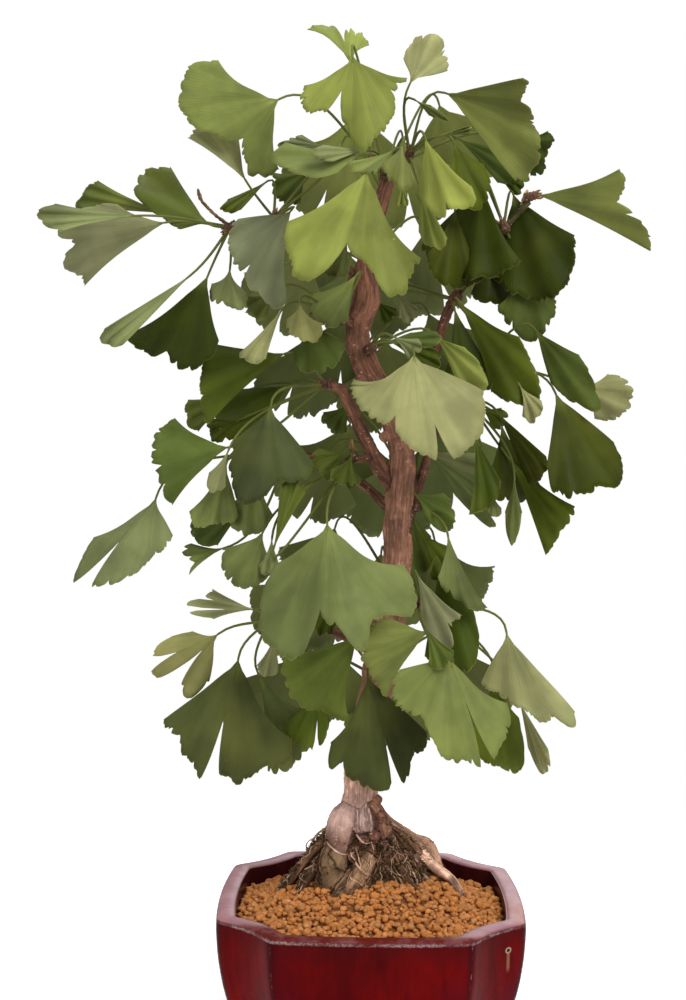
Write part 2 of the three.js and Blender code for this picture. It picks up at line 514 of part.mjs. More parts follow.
// ---------------------------------------------------------------- pot
// The outline of the pot at one height: four bowed sides and four hollowed corners.
function potOutline(half, flat, z) {
  const quarter = [];
  for (let step = 0; step < SIDE_STEPS; step += 1) {
    const x = flat * ((2 * step) / SIDE_STEPS - 1);
    quarter.push([x, -half - SIDE_BOW * (1 - (x / flat) ** 2)]);
  }
  for (let step = 0; step < CORNER_STEPS; step += 1) {
    const share = step / CORNER_STEPS;
    const dip = CORNER_DIP * 4 * share * (1 - share) * Math.SQRT1_2;
    const cut = half - flat;
    quarter.push([flat + cut * share - dip, -half + cut * share + dip]);
  }
  const ring = [];
  for (let turn = 0; turn < 4; turn += 1) {
    for (const [x, y] of quarter) {
      const [cos, sin] = [[1, 0], [0, 1], [-1, 0], [0, -1]][turn];
      ring.push([x * cos - y * sin, (x * sin + y * cos) * POT_DEPTH_SHARE, z]);
    }
  }
  return ring;
}

// The ring at a height and inset from the rim's outer edge. The corners keep their share of the width.
function potRing([z, inset]) {
  const half = POT_HALF - SIDE_BOW - inset;
  return potOutline(half, (POT_FLAT * half) / (POT_HALF - SIDE_BOW), z);
}

// The inside of the pot, up to well above the rim.
function potHollow(grow) {
  const profile = INNER_PROFILE.map(([z, inset]) => [z, inset + grow]);
  profile[profile.length - 1][0] += grow;
  const above = [POT_HEIGHT + 30, profile[2][1]];
  return loft([...profile.slice(2).reverse(), above].map(potRing));
}

function makePot() {
  const shell = loft([...OUTER_PROFILE, ...INNER_PROFILE].map(potRing));
  const foot = loft([potOutline(FOOT_HALF, FOOT_FLAT, 0), potOutline(FOOT_HALF, FOOT_FLAT, FOOT_TOP)]);
  let pot = shell.add(foot);
  const channel = new THREE.BoxGeometry(CHANNEL_WIDTH, POT_HALF * 2, CHANNEL_DEPTH * 2);
  const hole = new THREE.CylinderGeometry(DRAIN_RADIUS, DRAIN_RADIUS, POT_FLOOR * 4, 16);
  hole.rotateX(Math.PI / 2);
  for (const x of [-DRAIN_X, DRAIN_X]) {
    pot = pot.subtract(solidOf(channel, x, 0, 0)).subtract(solidOf(hole, x, 0, 0));
  }
  return pot;
}

function makeNet(x) {
  const z = POT_FLOOR + GAP + NET_THICK / 2;
  let net = solidOf(new THREE.BoxGeometry(NET_SIZE, NET_SIZE, NET_THICK), x, 0, z);
  const hole = new THREE.BoxGeometry(NET_HOLE, NET_HOLE, NET_THICK * 3);
  const pitch = NET_SIZE / (NET_HOLES + 0.4);
  for (let row = 0; row < NET_HOLES; row += 1) {
    for (let column = 0; column < NET_HOLES; column += 1) {
      const middle = (NET_HOLES - 1) / 2;
      net = net.subtract(solidOf(hole, x + (column - middle) * pitch, (row - middle) * pitch, z));
    }
  }
  return net;
}

// ---------------------------------------------------------------- wood
function lumpPoint(angle, reach, z) {
  return [ROOT_LUMP_X + reach * Math.cos(angle), ROOT_LUMP_Y + ROOT_LUMP_DEPTH * reach * Math.sin(angle), z];
}

function rootLump(grow) {
  const sides = 12;
  const rings = ROOT_LUMP.map(([z, radius]) => Array.from({ length: sides }, (_, side) => {
    const angle = (side / sides) * Math.PI * 2;
    const lumps = 1 + 0.09 * Math.sin(3 * angle + 1) + 0.08 * Math.sin(5 * angle + z / 4);
    return lumpPoint(angle, radius * lumps + grow, z);
  }));
  return loft(rings);
}

// Fine roots running down over the lump, at even bearings with a little chance in each.
function fineRoots() {
  const random = randomFrom(5);
  return Array.from({ length: FINE_ROOTS }, (_, i) => {
    const turn = random() - 0.5;
    const bend = random() - 0.5;
    return ROOT_LUMP.filter((_, i) => i % 2).reverse().map(([z, radius], step) => {
      const angle = ((i + turn + bend * step * 0.3) / FINE_ROOTS) * Math.PI * 2;
      const reach = radius * (1.02 + 0.12 * random()) + 1;
      return [...lumpPoint(angle, reach, z), 2 - 0.4 * step];
    });
  });
}

function woodTubes(grow) {
  const solids = [];
  for (const [name, path] of Object.entries({ ...WOOD, ...ROOTS, ...TWIGS })) {
    const sides = name === 'trunk' ? 8 : path[0][3] > 4.5 ? 5 : 4;
    solids.push(tube(path, sides, grow));
  }
  for (const path of fineRoots()) {
    solids.push(tube(path, 3, grow));
  }
  return solids;
}

function makeWood(grow = 0) {
  return joined([rootLump(grow), ...woodTubes(grow)]);
}

// ---------------------------------------------------------------- soil
// The soil's surface: a mound around the roots with the relief of its grains.
function soilHeight(x, y, chance) {
  const away = (x / MOUND_REACH_X) ** 2 + ((y - SOIL_MOUND_Y) / MOUND_REACH_Y) ** 2;
  return SOIL_EDGE + SOIL_MOUND * Math.exp(-away * away) + GRAIN_RELIEF * (chance - 0.5);
}

function soilBlock() {
  const steps = Math.ceil((POT_HALF * 2) / GRAIN);
  const random = randomFrom(9);
  const points = [];
  const triangles = [];
  const start = (-steps * GRAIN) / 2;
  for (let row = 0; row <= steps; row += 1) {
    for (let column = 0; column <= steps; column += 1) {
      const x = start + GRAIN * (column + 0.5 * (random() - 0.5));
      const y = start + GRAIN * (row + 0.5 * (random() - 0.5));
      points.push([x, y, soilHeight(x, y, random())]);
    }
  }
  const at = (row, column) => row * (steps + 1) + column;
  for (let row = 0; row < steps; row += 1) {
    for (let column = 0; column < steps; column += 1) {
      triangles.push([at(row, column), at(row, column + 1), at(row + 1, column + 1)]);
      triangles.push([at(row, column), at(row + 1, column + 1), at(row + 1, column)]);
    }
  }
  const edge = [];
  for (let i = 0; i < steps; i += 1) edge.push(at(0, i));
  for (let i = 0; i < steps; i += 1) edge.push(at(i, steps));
  for (let i = steps; i > 0; i -= 1) edge.push(at(steps, i));
  for (let i = steps; i > 0; i -= 1) edge.push(at(i, 0));
  const centre = points.length;
  points.push([0, 0, 0]);
  edge.forEach((corner, i) => triangles.push([corner, centre, edge[(i + 1) % edge.length]]));
  return solidFrom(points, triangles);
}

function makeSoil(woodRoom) {
  let soil = soilBlock().intersect(potHollow(GAP)).subtract(woodRoom);
  const width = NET_SIZE + 2 * GAP;
  const netRoom = new THREE.BoxGeometry(width, width, 2 * (NET_THICK + 2 * GAP));
  for (const x of [-DRAIN_X, DRAIN_X]) {
    soil = soil.subtract(solidOf(netRoom, x, 0, POT_FLOOR));
  }
  return largestBody(soil);
}

// ---------------------------------------------------------------- leaves
const radians = (degrees) => (degrees * Math.PI) / 180;

function slid([x, z, y]) {
  const scale = 1 + y / -VIEW[1];
  return new THREE.Vector3(VIEW[0] + (x - VIEW[0]) * scale, y, VIEW[2] + (z - VIEW[2]) * scale);
}

// The rim's radius at s, from -1 at one side of the fan to 1 at the other.
function rimRadius(leaf, s) {
  const { radii } = leaf;
  const place = ((Math.min(Math.max(s, -1), 1) + 1) / 2) * (radii.length - 1);
  const i = Math.min(Math.floor(place), radii.length - 2);
  const f = place - i;
  const before = radii[Math.max(i - 1, 0)];
  const [from, to] = [radii[i], radii[i + 1]];
  const after = radii[Math.min(i + 2, radii.length - 1)];
  let radius = 0.5 * (2 * from + (to - before) * f + (2 * before - 5 * from + 4 * to - after) * f * f
    + (3 * from - before - 3 * to + after) * f ** 3);
  for (const [middle, apex, width] of leaf.notches) {
    const away = Math.abs(s - middle) / width;
    if (away < 1) radius *= apex + (1 - apex) * away;
  }
  return radius;
}

// A point of the blade's middle face: s across the fan, t from the stalk (0) to the rim (1).
function bladePoint(leaf, s, t, tooth = 0) {
  const [x, z, y] = leaf.at;
  const [tilt, roll, cup, curl] = leaf.pose;
  const heading = radians(leaf.heading);
  const largest = Math.max(...leaf.radii);
  const angle = radians(leaf.spread / 2) * s * (1 - BLADE_NECK * (1 - t) ** 2);
  const radius = rimRadius(leaf, s) * t * (1 + tooth);
  const u = radius * Math.cos(angle);
  const v = radius * Math.sin(angle);
  const wave = BLADE_WAVE * (radius / largest) ** 2 * Math.sin(2.6 * Math.PI * s + leaf.number);
  const nearer = Math.tan(radians(tilt)) * u + Math.tan(radians(roll)) * v
    + cup * (v / largest) ** 2 + curl * (u / largest) ** 2 + wave;
  return slid([
    x + u * Math.cos(heading) - v * Math.sin(heading),
    z + u * Math.sin(heading) + v * Math.cos(heading),
    y - nearer,
  ]);
}

// Where the blade has a column of points: evenly, and at each notch's edges and apex.
function bladeColumns(leaf) {
  const steps = Math.min(Math.max(Math.round(leaf.spread / 14.5), 3), 9);
  let columns = Array.from({ length: steps + 1 }, (_, i) => {
    const s = -1 + (2 * i) / steps;
    return { s, tooth: TOOTH * (-1) ** i };
  });
  for (const [middle, , width] of leaf.notches) {
    columns = columns.filter(({ s }) => Math.abs(s - middle) > width + 0.04);
    for (const s of [middle - width, middle, middle + width]) {
      if (Math.abs(s) <= 1) columns.push({ s, tooth: 0, apex: s === middle });
    }
  }
  return columns.sort((a, b) => a.s - b.s);
}

// One leaf, blade and stalk in one skin. The blade is a thin fan, with a ring of points halfway
// where it is broad. The stalk is a three-sided tube that runs from the blade's foot into the spur.
function leafSolid(leaf, spur) {
  const columns = bladeColumns(leaf);
  const middle = columns.map(({ s, tooth }) => bladePoint(leaf, s, 1, tooth));
  const broad = leaf.spread > BROAD_SPREAD;
  const ring = [];
  columns.forEach(({ s, apex }, i) => {
    const last = ring.length ? ring[ring.length - 1].column : -2;
    if (broad && (apex || i === columns.length - 1 || i - last >= 2)) {
      ring.push({ column: i, point: middle.push(bladePoint(leaf, s, BLADE_MID)) - 1 });
    }
  });
  const faces = [];
  for (let i = 0; i < ring.length - 1; i += 1) {
    const [from, to] = [ring[i], ring[i + 1]];
    if (to.column - from.column === 2) {
      faces.push([from.point, from.column, from.column + 1]);
      faces.push([from.point, from.column + 1, to.point]);
      faces.push([to.point, from.column + 1, to.column]);
    } else {
      faces.push([from.point, from.column, to.column]);
      faces.push([from.point, to.column, to.point]);
    }
  }
  const rim = columns.map((_, i) => i);
  const inner = broad ? ring.map(({ point }) => point) : rim;
  const outline = broad ? [inner[0], ...rim, inner[inner.length - 1]] : rim;
  return bladeWithStalk(middle, faces, inner, outline, stalkPath(leaf, spur));
}

// Gives the blade's middle points thickness along their normals, closes its edge and adds the stalk.
// `inner` lists the points nearest to the stalk, across the blade, and `outline` those along its edge.
function bladeWithStalk(middle, faces, inner, outline, path) {
  const foot = middle.length;
  const all = [...middle, path[0]];
  const fan = inner.slice(1).map((point, i) => [foot, inner[i], point]);
  const normals = all.map(() => new THREE.Vector3());
  for (const face of [...faces, ...fan]) {
    const [a, b, c] = face.map((i) => all[i]);
    const normal = new THREE.Vector3().crossVectors(b.clone().sub(a), c.clone().sub(a));
    face.forEach((i) => normals[i].add(normal));
  }
  normals.forEach((normal) => normal.setLength(BLADE_THICK / 2));
  const top = middle.map((point, i) => point.clone().add(normals[i]));
  const bottom = middle.map((point, i) => point.clone().sub(normals[i]));
  const points = [...top, ...bottom];
  const below = middle.length;
  const triangles = faces.flatMap(([a, b, c]) => [[a, b, c], [a + below, c + below, b + below]]);

  // The stalk's rings: one point on top and two below.
  const up = normals[foot].clone().normalize();
  const rings = path.map((centre, i) => {
    const ahead = path[Math.min(i + 1, path.length - 1)].clone().sub(path[Math.max(i - 1, 0)]).normalize();
    up.addScaledVector(ahead, -up.dot(ahead)).normalize();
    const side = new THREE.Vector3().crossVectors(up, ahead);
    const start = points.length;
    for (const turn of [0, 120, 240]) {
      const rise = STALK_RADIUS * Math.cos(radians(turn));
      const reach = STALK_RADIUS * Math.sin(radians(turn));
      points.push(centre.clone().addScaledVector(up, rise).addScaledVector(side, reach));
    }
    return start;
  });
  for (let i = 0; i < rings.length - 1; i += 1) {
    for (let side = 0; side < 3; side += 1) {
      const [a, b] = [rings[i] + side, rings[i] + ((side + 1) % 3)];
      const [c, d] = [rings[i + 1] + side, rings[i + 1] + ((side + 1) % 3)];
      triangles.push([b, a, c], [b, c, d]);
    }
  }
  const end = rings[rings.length - 1];
  triangles.push([end, end + 2, end + 1]);

  // The blade's two faces run in to the stalk's first ring.
  const [ridge, first, last] = [rings[0], rings[0] + 1, rings[0] + 2];
  const half = Math.floor(inner.length / 2);
  fan.forEach(([, a, b], i) => {
    triangles.push([ridge, a, b]);
    triangles.push([i < half ? first : last, b + below, a + below]);
  });
  triangles.push([first, last, inner[half] + below]);
  const [left, right] = [inner[0], inner[inner.length - 1]];
  triangles.push([ridge, first, left + below], [ridge, left + below, left]);
  triangles.push([last, ridge, right], [last, right, right + below]);

  // The wall along the blade's edge, from its left corner over the rim to its right corner.
  for (let i = 0; i < outline.length - 1; i += 1) {
    const [a, b] = [outline[i], outline[i + 1]];
    triangles.push([a, a + below, b + below], [a, b + below, b]);
  }
  return solidFrom(points.map((point) => point.toArray()), triangles);
}

// The stalk's path: a curve from the blade's foot back to the spur.
function stalkPath(leaf, spur) {
  const heading = radians(leaf.heading);
  const foot = new THREE.Vector3(...leaf.at);
  const root = new THREE.Vector3(...spur);
  const rise = -Math.tan(radians(leaf.pose[0]));
  const out = new THREE.Vector3(Math.cos(heading), Math.sin(heading), rise).normalize();
  const length = foot.distanceTo(root);
  const leave = foot.clone().addScaledVector(out, -0.4 * length);
  const arrive = root.clone().lerp(foot, 0.2).add(new THREE.Vector3(0, 0, 0.125 * length));
  const curve = new THREE.CubicBezierCurve3(foot, leave, arrive, root);
  return curve.getPoints(STALK_STEPS).map((point) => slid(point.toArray()));
}

function makeSpray(spur, leaves, woodRoom) {
  const [x, y, z] = slid(spur).toArray();
  const solids = [solidOf(new THREE.OctahedronGeometry(SPUR_RADIUS), x, y, z)];
  for (const leaf of leaves) {
    solids.push(leafSolid(leaf, spur));
  }
  return largestBody(joined(solids).subtract(woodRoom));
}

// A fan of leaves behind the trunk, by rule.
function backLeaves([, spur, count, first, last, reach, rise, seed]) {
  const random = randomFrom(seed);
  return Array.from({ length: count }, (_, i) => {
    const bearing = first + ((last - first) * (i + 0.5)) / count + 8 * (random() - 0.5);
    const aside = Math.sin(radians(bearing));
    const behind = Math.cos(radians(bearing));
    const layer = BACK_LAYER * (i % 2);
    const away = reach * (0.75 + 0.4 * random()) + 0.6 * layer;
    const size = 34 + 10 * random();
    const up = rise + 8 * (random() - 0.5) + layer;
    const roll = bearing * 0.8;
    const spread = radians(100 + 20 * random());
    const shown = Math.atan(Math.tan(spread / 2) * Math.cos(radians(roll)));
    const tilt = -(18 + 20 * random()) * behind;
    return {
      at: [spur[0] + away * aside, spur[1] + up, spur[2] + 0.8 * away * behind],
      heading: -90 + bearing * 0.45,
      spread: (shown * 360) / Math.PI,
      radii: [0.78, 0.95, 1, 0.93, 0.8].map((share) => share * size),
      notches: [[0.15 * (random() - 0.5), 0.6, 0.1]],
      pose: [tilt, roll, -4, -4],
      tone: 'D',
    };
  });
}

// All the sprays, with a running number in each leaf that sets the phase of its waves.
function listSprays() {
  const sprays = Object.entries(SPRAYS).map(([name, { spur, leaves }]) => ({
    name,
    spur,
    leaves: leaves.map(([, at, heading, spread, radii, notches, pose, tone]) => (
      { at, heading, spread, radii, notches, pose, tone })),
  }));
  sprays.push(...BACK_SPRAYS.map((row) => ({ name: row[0], spur: row[1], leaves: backLeaves(row) })));
  sprays.flatMap(({ leaves }) => leaves).forEach((leaf, number) => {
    leaf.number = number;
  });
  return sprays;
}

// ---------------------------------------------------------------- the whole tree
const bonsai = new THREE.Group();
const woodRoom = makeWood(WOOD_GAP);
bonsai.add(meshOf('pot', makePot(), POT_GLAZE, 0.25));
bonsai.add(meshOf('drain_net_left', makeNet(-DRAIN_X), NET_BLACK, 0.6));
bonsai.add(meshOf('drain_net_right', makeNet(DRAIN_X), NET_BLACK, 0.6));
bonsai.add(meshOf('soil', makeSoil(woodRoom), SOIL_BROWN, 0.95));
bonsai.add(meshOf('wood', largestBody(makeWood()), BARK, 0.85));
for (const { name, spur, leaves } of listSprays()) {
  bonsai.add(meshOf(`leaves_${name}`, makeSpray(spur, leaves, woodRoom), TONES[leaves[0].tone], 0.6));
}

export default bonsai;
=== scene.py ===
"""The looks of the ginkgo bonsai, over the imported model.

The front of the tree faces -Y. Sizes here are millimetres, and each mesh is built in metres.
Sprays, wood and roots grow from the same lists as the model's solids, with finer skins.
"""
import math
import random

import bmesh
import bpy
import numpy as np
from mathutils import Matrix, Vector, kdtree, noise
from mathutils.bvhtree import BVHTree


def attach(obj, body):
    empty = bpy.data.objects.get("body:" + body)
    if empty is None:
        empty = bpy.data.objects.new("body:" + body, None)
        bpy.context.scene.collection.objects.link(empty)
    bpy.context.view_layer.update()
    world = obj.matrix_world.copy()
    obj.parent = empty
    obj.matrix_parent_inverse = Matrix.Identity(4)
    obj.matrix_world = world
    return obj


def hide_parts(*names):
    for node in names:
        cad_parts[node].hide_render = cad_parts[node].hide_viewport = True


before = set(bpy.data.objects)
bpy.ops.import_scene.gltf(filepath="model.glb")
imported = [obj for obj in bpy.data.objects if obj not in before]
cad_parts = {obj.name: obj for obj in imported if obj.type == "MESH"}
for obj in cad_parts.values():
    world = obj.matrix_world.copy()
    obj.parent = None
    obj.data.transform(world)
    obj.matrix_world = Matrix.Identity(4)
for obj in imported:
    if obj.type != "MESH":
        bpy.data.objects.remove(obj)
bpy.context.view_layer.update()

MM = 0.001                  # millimetres to metres

# ---------------------------------------------------------------- driving dimensions
POT_HALF = 68.3             # half the width over the rim
POT_DEPTH_SHARE = 0.975     # front to back it is a little less
POT_FLAT = 41.6             # half the length of a straight side at the rim
SIDE_BOW = 2.2              # how far a side bows out in its middle
CORNER_DIP = 2.6            # how far a cut corner is hollowed
RIM_WIDTH = 8.6             # from the rim's outer edge to the wall inside it
# height and inset from the rim's outer edge, up the outside, over the rim and down the inside
POT_PROFILE = [
    [4, 27], [6, 18.5], [11, 11.5], [19, 6.4], [30, 3.1], [42, 1], [53, 0.1], [58, 0], [59.5, 0.15],
    [60.4, 0.9], [60.8, 2.3], [60.9, 4.4], [60.7, 6.4], [60, 7.6], [58.6, 8.3], [45, 9.4], [30, 11.6],
    [19, 15.5], [12, 21], [9, 27],
]
FOOT_HALF = 42
FOOT_FLAT = 28
# height and inset of the foot, which is rounded at its lower edge
FOOT_PROFILE = [[0, 1.2], [0.9, 0], [6, 0]]
DRAIN_X = 22                # the drain holes lie to the left and right of the middle
DRAIN_RADIUS = 5
CHANNEL_WIDTH = 12          # a channel runs from front to back below each drain hole
CHANNEL_DEPTH = 3.5
POT_STEPS = 34              # points along a side of the pot and its corner
GLAZE_DARK_BAND = (49, 58.2)     # between these heights the glaze is darker, a band below the rim
RIM_LINE = 59.4             # height of the brown line where the glaze breaks over the rim's edge
RIM_FACE = (59.6, 60.4)     # between these heights the rim's face begins, paler by a painted reflection
BARE_FOOT = (6.2, 5.2)      # the clay is bare below these heights
PIT = [58.0, -47.2, 50.7]   # a burst bubble in the glaze

SOIL_EDGE = 54              # height of the soil's surface at the wall
SOIL_MOUND = 15.5           # how much higher it stands around the roots
SOIL_MOUND_Y = -2           # the mound's middle
MOUND_REACH_X = 47          # the mound is broad from side to side and short from front to back
MOUND_REACH_Y = 34
# the soil bed's side as height and inset, and how far its top lies below the soil's surface
BED_PROFILE = [[9.4, 27.5], [12, 21.6], [19, 16.1], [30, 12.2], [45, 10.0], [51, 9.4]]
BED_DROP = 1.9
BED_RINGS = 46              # rings of points over the bed's top
GRANULES = 3600
GRANULE_PIECES = 2
GRANULE_SHAPES = 14
GRANULE_RADIUS = 1.17       # the middle size
GRANULE_SPREAD = 0.24       # how much the sizes differ
GRANULE_LIMITS = (0.7, 2.0)
PILE_CELL = 0.5             # cell of the grid that keeps how high the granules lie

BLADE_THICK = 0.36
BLADE_NECK = 0.2            # how much the fan draws in at its foot
BLADE_WAVE = 1.5            # one slow wave across the blade
STALK_RADIUS = 0.54
STALK_SIDES = 6

# The leaves are laid out in the tree's front elevation, the picture it makes for an eye at VIEW.
# A point of the elevation slides along its sight line to its own depth.
VIEW = [-5, -594, 248]

BACK_LAYER = 13             # every second leaf of a back fan stands this much higher
NOTCH_ROUND = 1.3           # how round the shoulders of a notch are
NECK_REACH = 6              # within this reach of its stalk a blade draws in
BLADE_FOOT = 0.035          # where the blade starts, as a share of its radius
SIDE_BEND = (-0.12, 0.02)   # how far a side of the fan bows out halfway up, as a share of its spread
# the rim's lobes, the lobes on them and the teeth: [width, depth]
RIM_CUTS = [[9.5, 1.5], [3.8, 0.8], [1.6, 0.36]]
TOOTH_LIMIT = 3             # only wider lobes are parted by slits
SLIT_CHANCE = 0.2
SLIT_DEPTH = 2.4
PLEATS = 17                 # folds along the veins, in a radian of the fan
PLEAT_DEPTH = 0.11
FLUTTER = 2.2               # how far the rim waves in and out
FOLD_SHARE = 0.6            # how much of a blade's cup is a fold along its middle
CUP_GAIN = 1.5              # how much deeper a blade's cup is than in the list
LOBE_TURN = 2.4             # how far the parts beside a notch swing out of line
COLUMN_WIDTH = 0.78         # the blade's mesh: a column's width at the rim and a row's height
ROW_HEIGHT = 4.0
HALF_CONTRAST = 0.13        # how much lighter one half of a blade is than the other, as painted shade
# the blades whose halves differ most in painted shade: how much lighter the half at s = 1 is
PAINTED_HALF_SHADE = {
    "K3": 0.16, "A11": -0.18, "H1": 0.05, "N1": -0.25, "A3": -0.08, "B2": -0.22, "N3": 0.05,
}

FINE_ROOTS = 8
HAIR_ROOTS = 600
MOSS_TUFTS = 2800
BUD_SCALES = 7              # at the tip of each short shoot
WOOD_VOXEL = 0.8            # cell of the wood's mesh
FIBRE_STRETCH = 0.11        # how short a fibre's pattern is along the wood, as a share of its width
# burls and pruned stubs on the trunk: [x, y, z, radius]
KNOTS = [
    [13.5, -3, 259, 2.6], [5, -3.5, 268, 2.2], [-9, -5, 322, 2.4], [-7.5, -5, 300, 2.6], [9, -3, 232, 2.0],
    [1.5, -4, 346, 2.0], [-1, -6, 121, 1.6], [3, -5, 104, 2.4], [23, 0, 252, 2.0], [-14, -3, 290, 2.2],
]
# knobs between the roots at the foot of the trunk: [x, y, z, radius]
ROOT_KNOBS = [
    [4.5, -8, 97, 2.0], [7, -5, 93, 1.8], [-3.5, -13, 86.5, 1.9], [2.5, -12, 89, 2.0], [0, -13.4, 83.5, 1.6],
    [6.5, -10.5, 84, 1.9], [3.6, -12.8, 78, 1.8], [10.5, -8.4, 80, 1.7], [-7.8, -14, 80, 1.4],
    [9.5, -7.4, 87, 1.6], [8, -11.6, 74, 1.6], [14.5, -9, 75, 1.8], [18, -5, 79, 1.7],
    [-23, -7, 76, 1.8], [-26, -9.4, 70.5, 1.9], [22, -5, 74, 1.7], [-31, -5, 68, 1.6],
]
# root hairs grown tight around the bulb: the middle's x and z, how far they drop and how wide they are
SCAR_RINGS = [[-13.5, 86, 4, 12], [-3, 90, 3, 7]]

# the view's turn from straight ahead, in degrees
CAMERA_YAW = 0.85
CAMERA_PITCH = 0.83
CAMERA_ROLL = 0.43
CAMERA_LENS = 47
WORLD_FILL = 0.42           # light that the white surroundings give
FLOOR_REACH = 420
FLOOR_GLOW = 0.35           # keeps the floor as pale as its surroundings
# soft square lamps: name, place and target in metres, width and power
LAMPS = [
    ["key", (0.9, -1.1, 1.3), (0, 0, 0.25), 1.1, 27],
    ["fill", (-1.3, -0.9, 0.7), (0, 0, 0.22), 1.2, 9],
    ["top", (0, 0.2, 1.7), (0, 0, 0.2), 1.6, 14],
    ["back", (0.4, 1.5, 0.9), (0, 0, 0.25), 1.2, 8],
]

# ---------------------------------------------------------------- wood
# Each path is a run of [x, y, z, radius].
WOOD = {
    "trunk": [
        [-6.5, 0, 62, 10], [-6.5, 0, 88, 9.4], [-6, 0, 97, 8.7], [-5.2, 0, 103, 7.8],
        [-4.8, 0, 110, 7.5], [-4.2, 0, 118, 7.4], [-3.2, 0, 128, 7.3], [0, 1, 145, 7.2], [4, 2, 165, 7],
        [8, 3, 185, 6.8], [11, 3, 210, 6.5], [11.5, 2, 228, 6.2], [12, 1, 245, 6], [13, 0, 260, 5.6],
        [9.5, 0, 273, 5], [4, -1, 286, 5.2], [-4, -2, 300, 5.6], [-8, -2, 315, 5], [-4, -1, 331, 5.6],
        [-4, 0, 346, 4.4], [-1, 1, 361, 3.8], [3, 1, 376, 3.2], [8, 0, 392, 2.8],
    ],
    "left branch": [
        [9, 1, 246, 4], [3, 0, 254, 3.6], [-4, -1, 267, 3.1], [-10, -1, 280, 2.8], [-15, -2, 289, 2.4],
        [-22, -2, 292, 2],
    ],
    "right stem": [
        [13, 2, 222, 3], [18, 2, 238, 2.4], [22, 2, 250, 2.1], [25, 3, 262, 2], [27, 4, 278, 2],
        [27, 4, 296, 2], [29, 3, 312, 2.2], [33, 2, 325, 2.4], [37, 2, 334, 2],
    ],
    "left arm": [
        [-5, 0, 334, 3], [-18, 4, 350, 2.4], [-33, 6, 360, 2.1], [-48, 5, 366, 1.8], [-66, 6, 363, 1.5],
    ],
    "small branch": [[-7, -3, 311, 2.4], [-11, -5, 319, 2], [-16, -7, 322, 1.6]],
    "right arm": [[35, 2, 330, 2], [46, 6, 346, 1.8], [58, 6, 363, 1.6], [70, 4, 376, 1.3]],
    "right shoulder": [[27, 4, 286, 1.9], [39, 6, 297, 1.7], [50, 6, 303, 1.5]],
    "inner right": [[25, 3, 264, 1.9], [33, 6, 277, 1.7], [42, 7, 286, 1.5]],
    "low left": [[4, 1, 168, 2.6], [-14, 0, 178, 2.1], [-30, -1, 183, 1.8], [-46, -2, 184, 1.5]],
    "outer left": [[11, 3, 232, 2.6], [-4, 7, 246, 2.1], [-20, 8, 256, 1.8], [-38, 4, 262, 1.5]],
    "front twig": [[-1, -1, 259, 2], [-6, -5, 258, 1.7], [-10, -8, 258, 1.5]],
    "low right": [[9, 2, 189, 2.4], [16, -1, 192, 2], [22, -4, 192, 1.6]],
}

ROOTS = {
    "left shoulder": [
        [-9, -1, 99, 4.6], [-12, -4.5, 95.5, 6.4], [-13, -7.5, 90, 7.2], [-13, -9, 84.5, 6.6],
        [-13.5, -10.5, 79, 5], [-16, -12, 72, 3.4], [-17, -13, 62, 2.6],
    ],
    "left end": [
        [-15, -10, 83, 4.6], [-16.5, -13, 78.5, 5.2], [-17.5, -14.5, 74, 4.8], [-18.5, -15, 62, 3],
    ],
    "middle": [
        [-4, -5, 97, 4.4], [-3.5, -8, 91, 5], [-0.5, -9.5, 85, 4.4], [0, -10.5, 79, 3.8],
        [1, -11, 72, 3.2], [1, -12, 62, 2.4],
    ],
    "front": [
        [-1, -9, 84, 3.4], [-1.5, -13, 79.5, 3.8], [-4, -16, 74.5, 4], [-8, -18.5, 69.5, 4],
        [-12.5, -20.5, 64.5, 3.8], [-16, -22, 57, 3],
    ],
    "right knob": [
        [0, -2, 101, 3.4], [3.4, -4.5, 97, 3.6], [5, -6, 91.5, 4], [6.5, -7.5, 85, 3.4],
        [8, -9, 77, 2.8], [9, -10, 62, 2],
    ],
    "right": [
        [1, 0, 95, 4.6], [8, 1, 91, 3.6], [14, 2, 87.5, 3.1], [20, 2, 84, 2.9], [25.5, 3, 81.5, 3.3],
        [28.5, 2, 77.5, 2.8], [31, 0, 70, 2.4], [33, -1, 60, 2],
    ],
    "right front": [
        [6, -5, 88, 3.2], [11, -7, 82, 2.8], [15.5, -8.5, 76, 2.4], [19, -10, 70, 2], [22, -11, 58, 1.6],
    ],
    "right end": [
        [22, 0, 79, 2.8], [27, -2, 74.5, 2.4], [32, -3, 71, 2.3], [37, -4, 67.5, 2], [41, -5, 62, 1.6],
        [43, -5, 56, 1.4],
    ],
    "left": [
        [-14, 2, 88, 5], [-20, 2, 80.5, 3.6], [-26, 1, 74.5, 2.8], [-32.5, -1, 69, 2.4],
        [-38, -3, 65, 2], [-42, -5, 57, 1.6],
    ],
    "left front": [
        [-17, -6, 80, 3.4], [-23, -9, 74.5, 2.8], [-28.5, -11.5, 69.5, 2.4], [-32, -13, 60, 1.8],
    ],
    "back left": [[-9, 4, 92, 5], [-16, 11, 82, 4.2], [-22, 17, 72, 3.2], [-27, 22, 58, 2.4]],
    "back": [[-2, 4, 94, 5], [2, 12, 83, 4.2], [5, 18, 72, 3.2], [7, 24, 58, 2.4]],
    "back right": [[3, 3, 94, 4.6], [12, 8, 84, 3.8], [20, 13, 74, 3.2], [27, 17, 58, 2.4]],
}

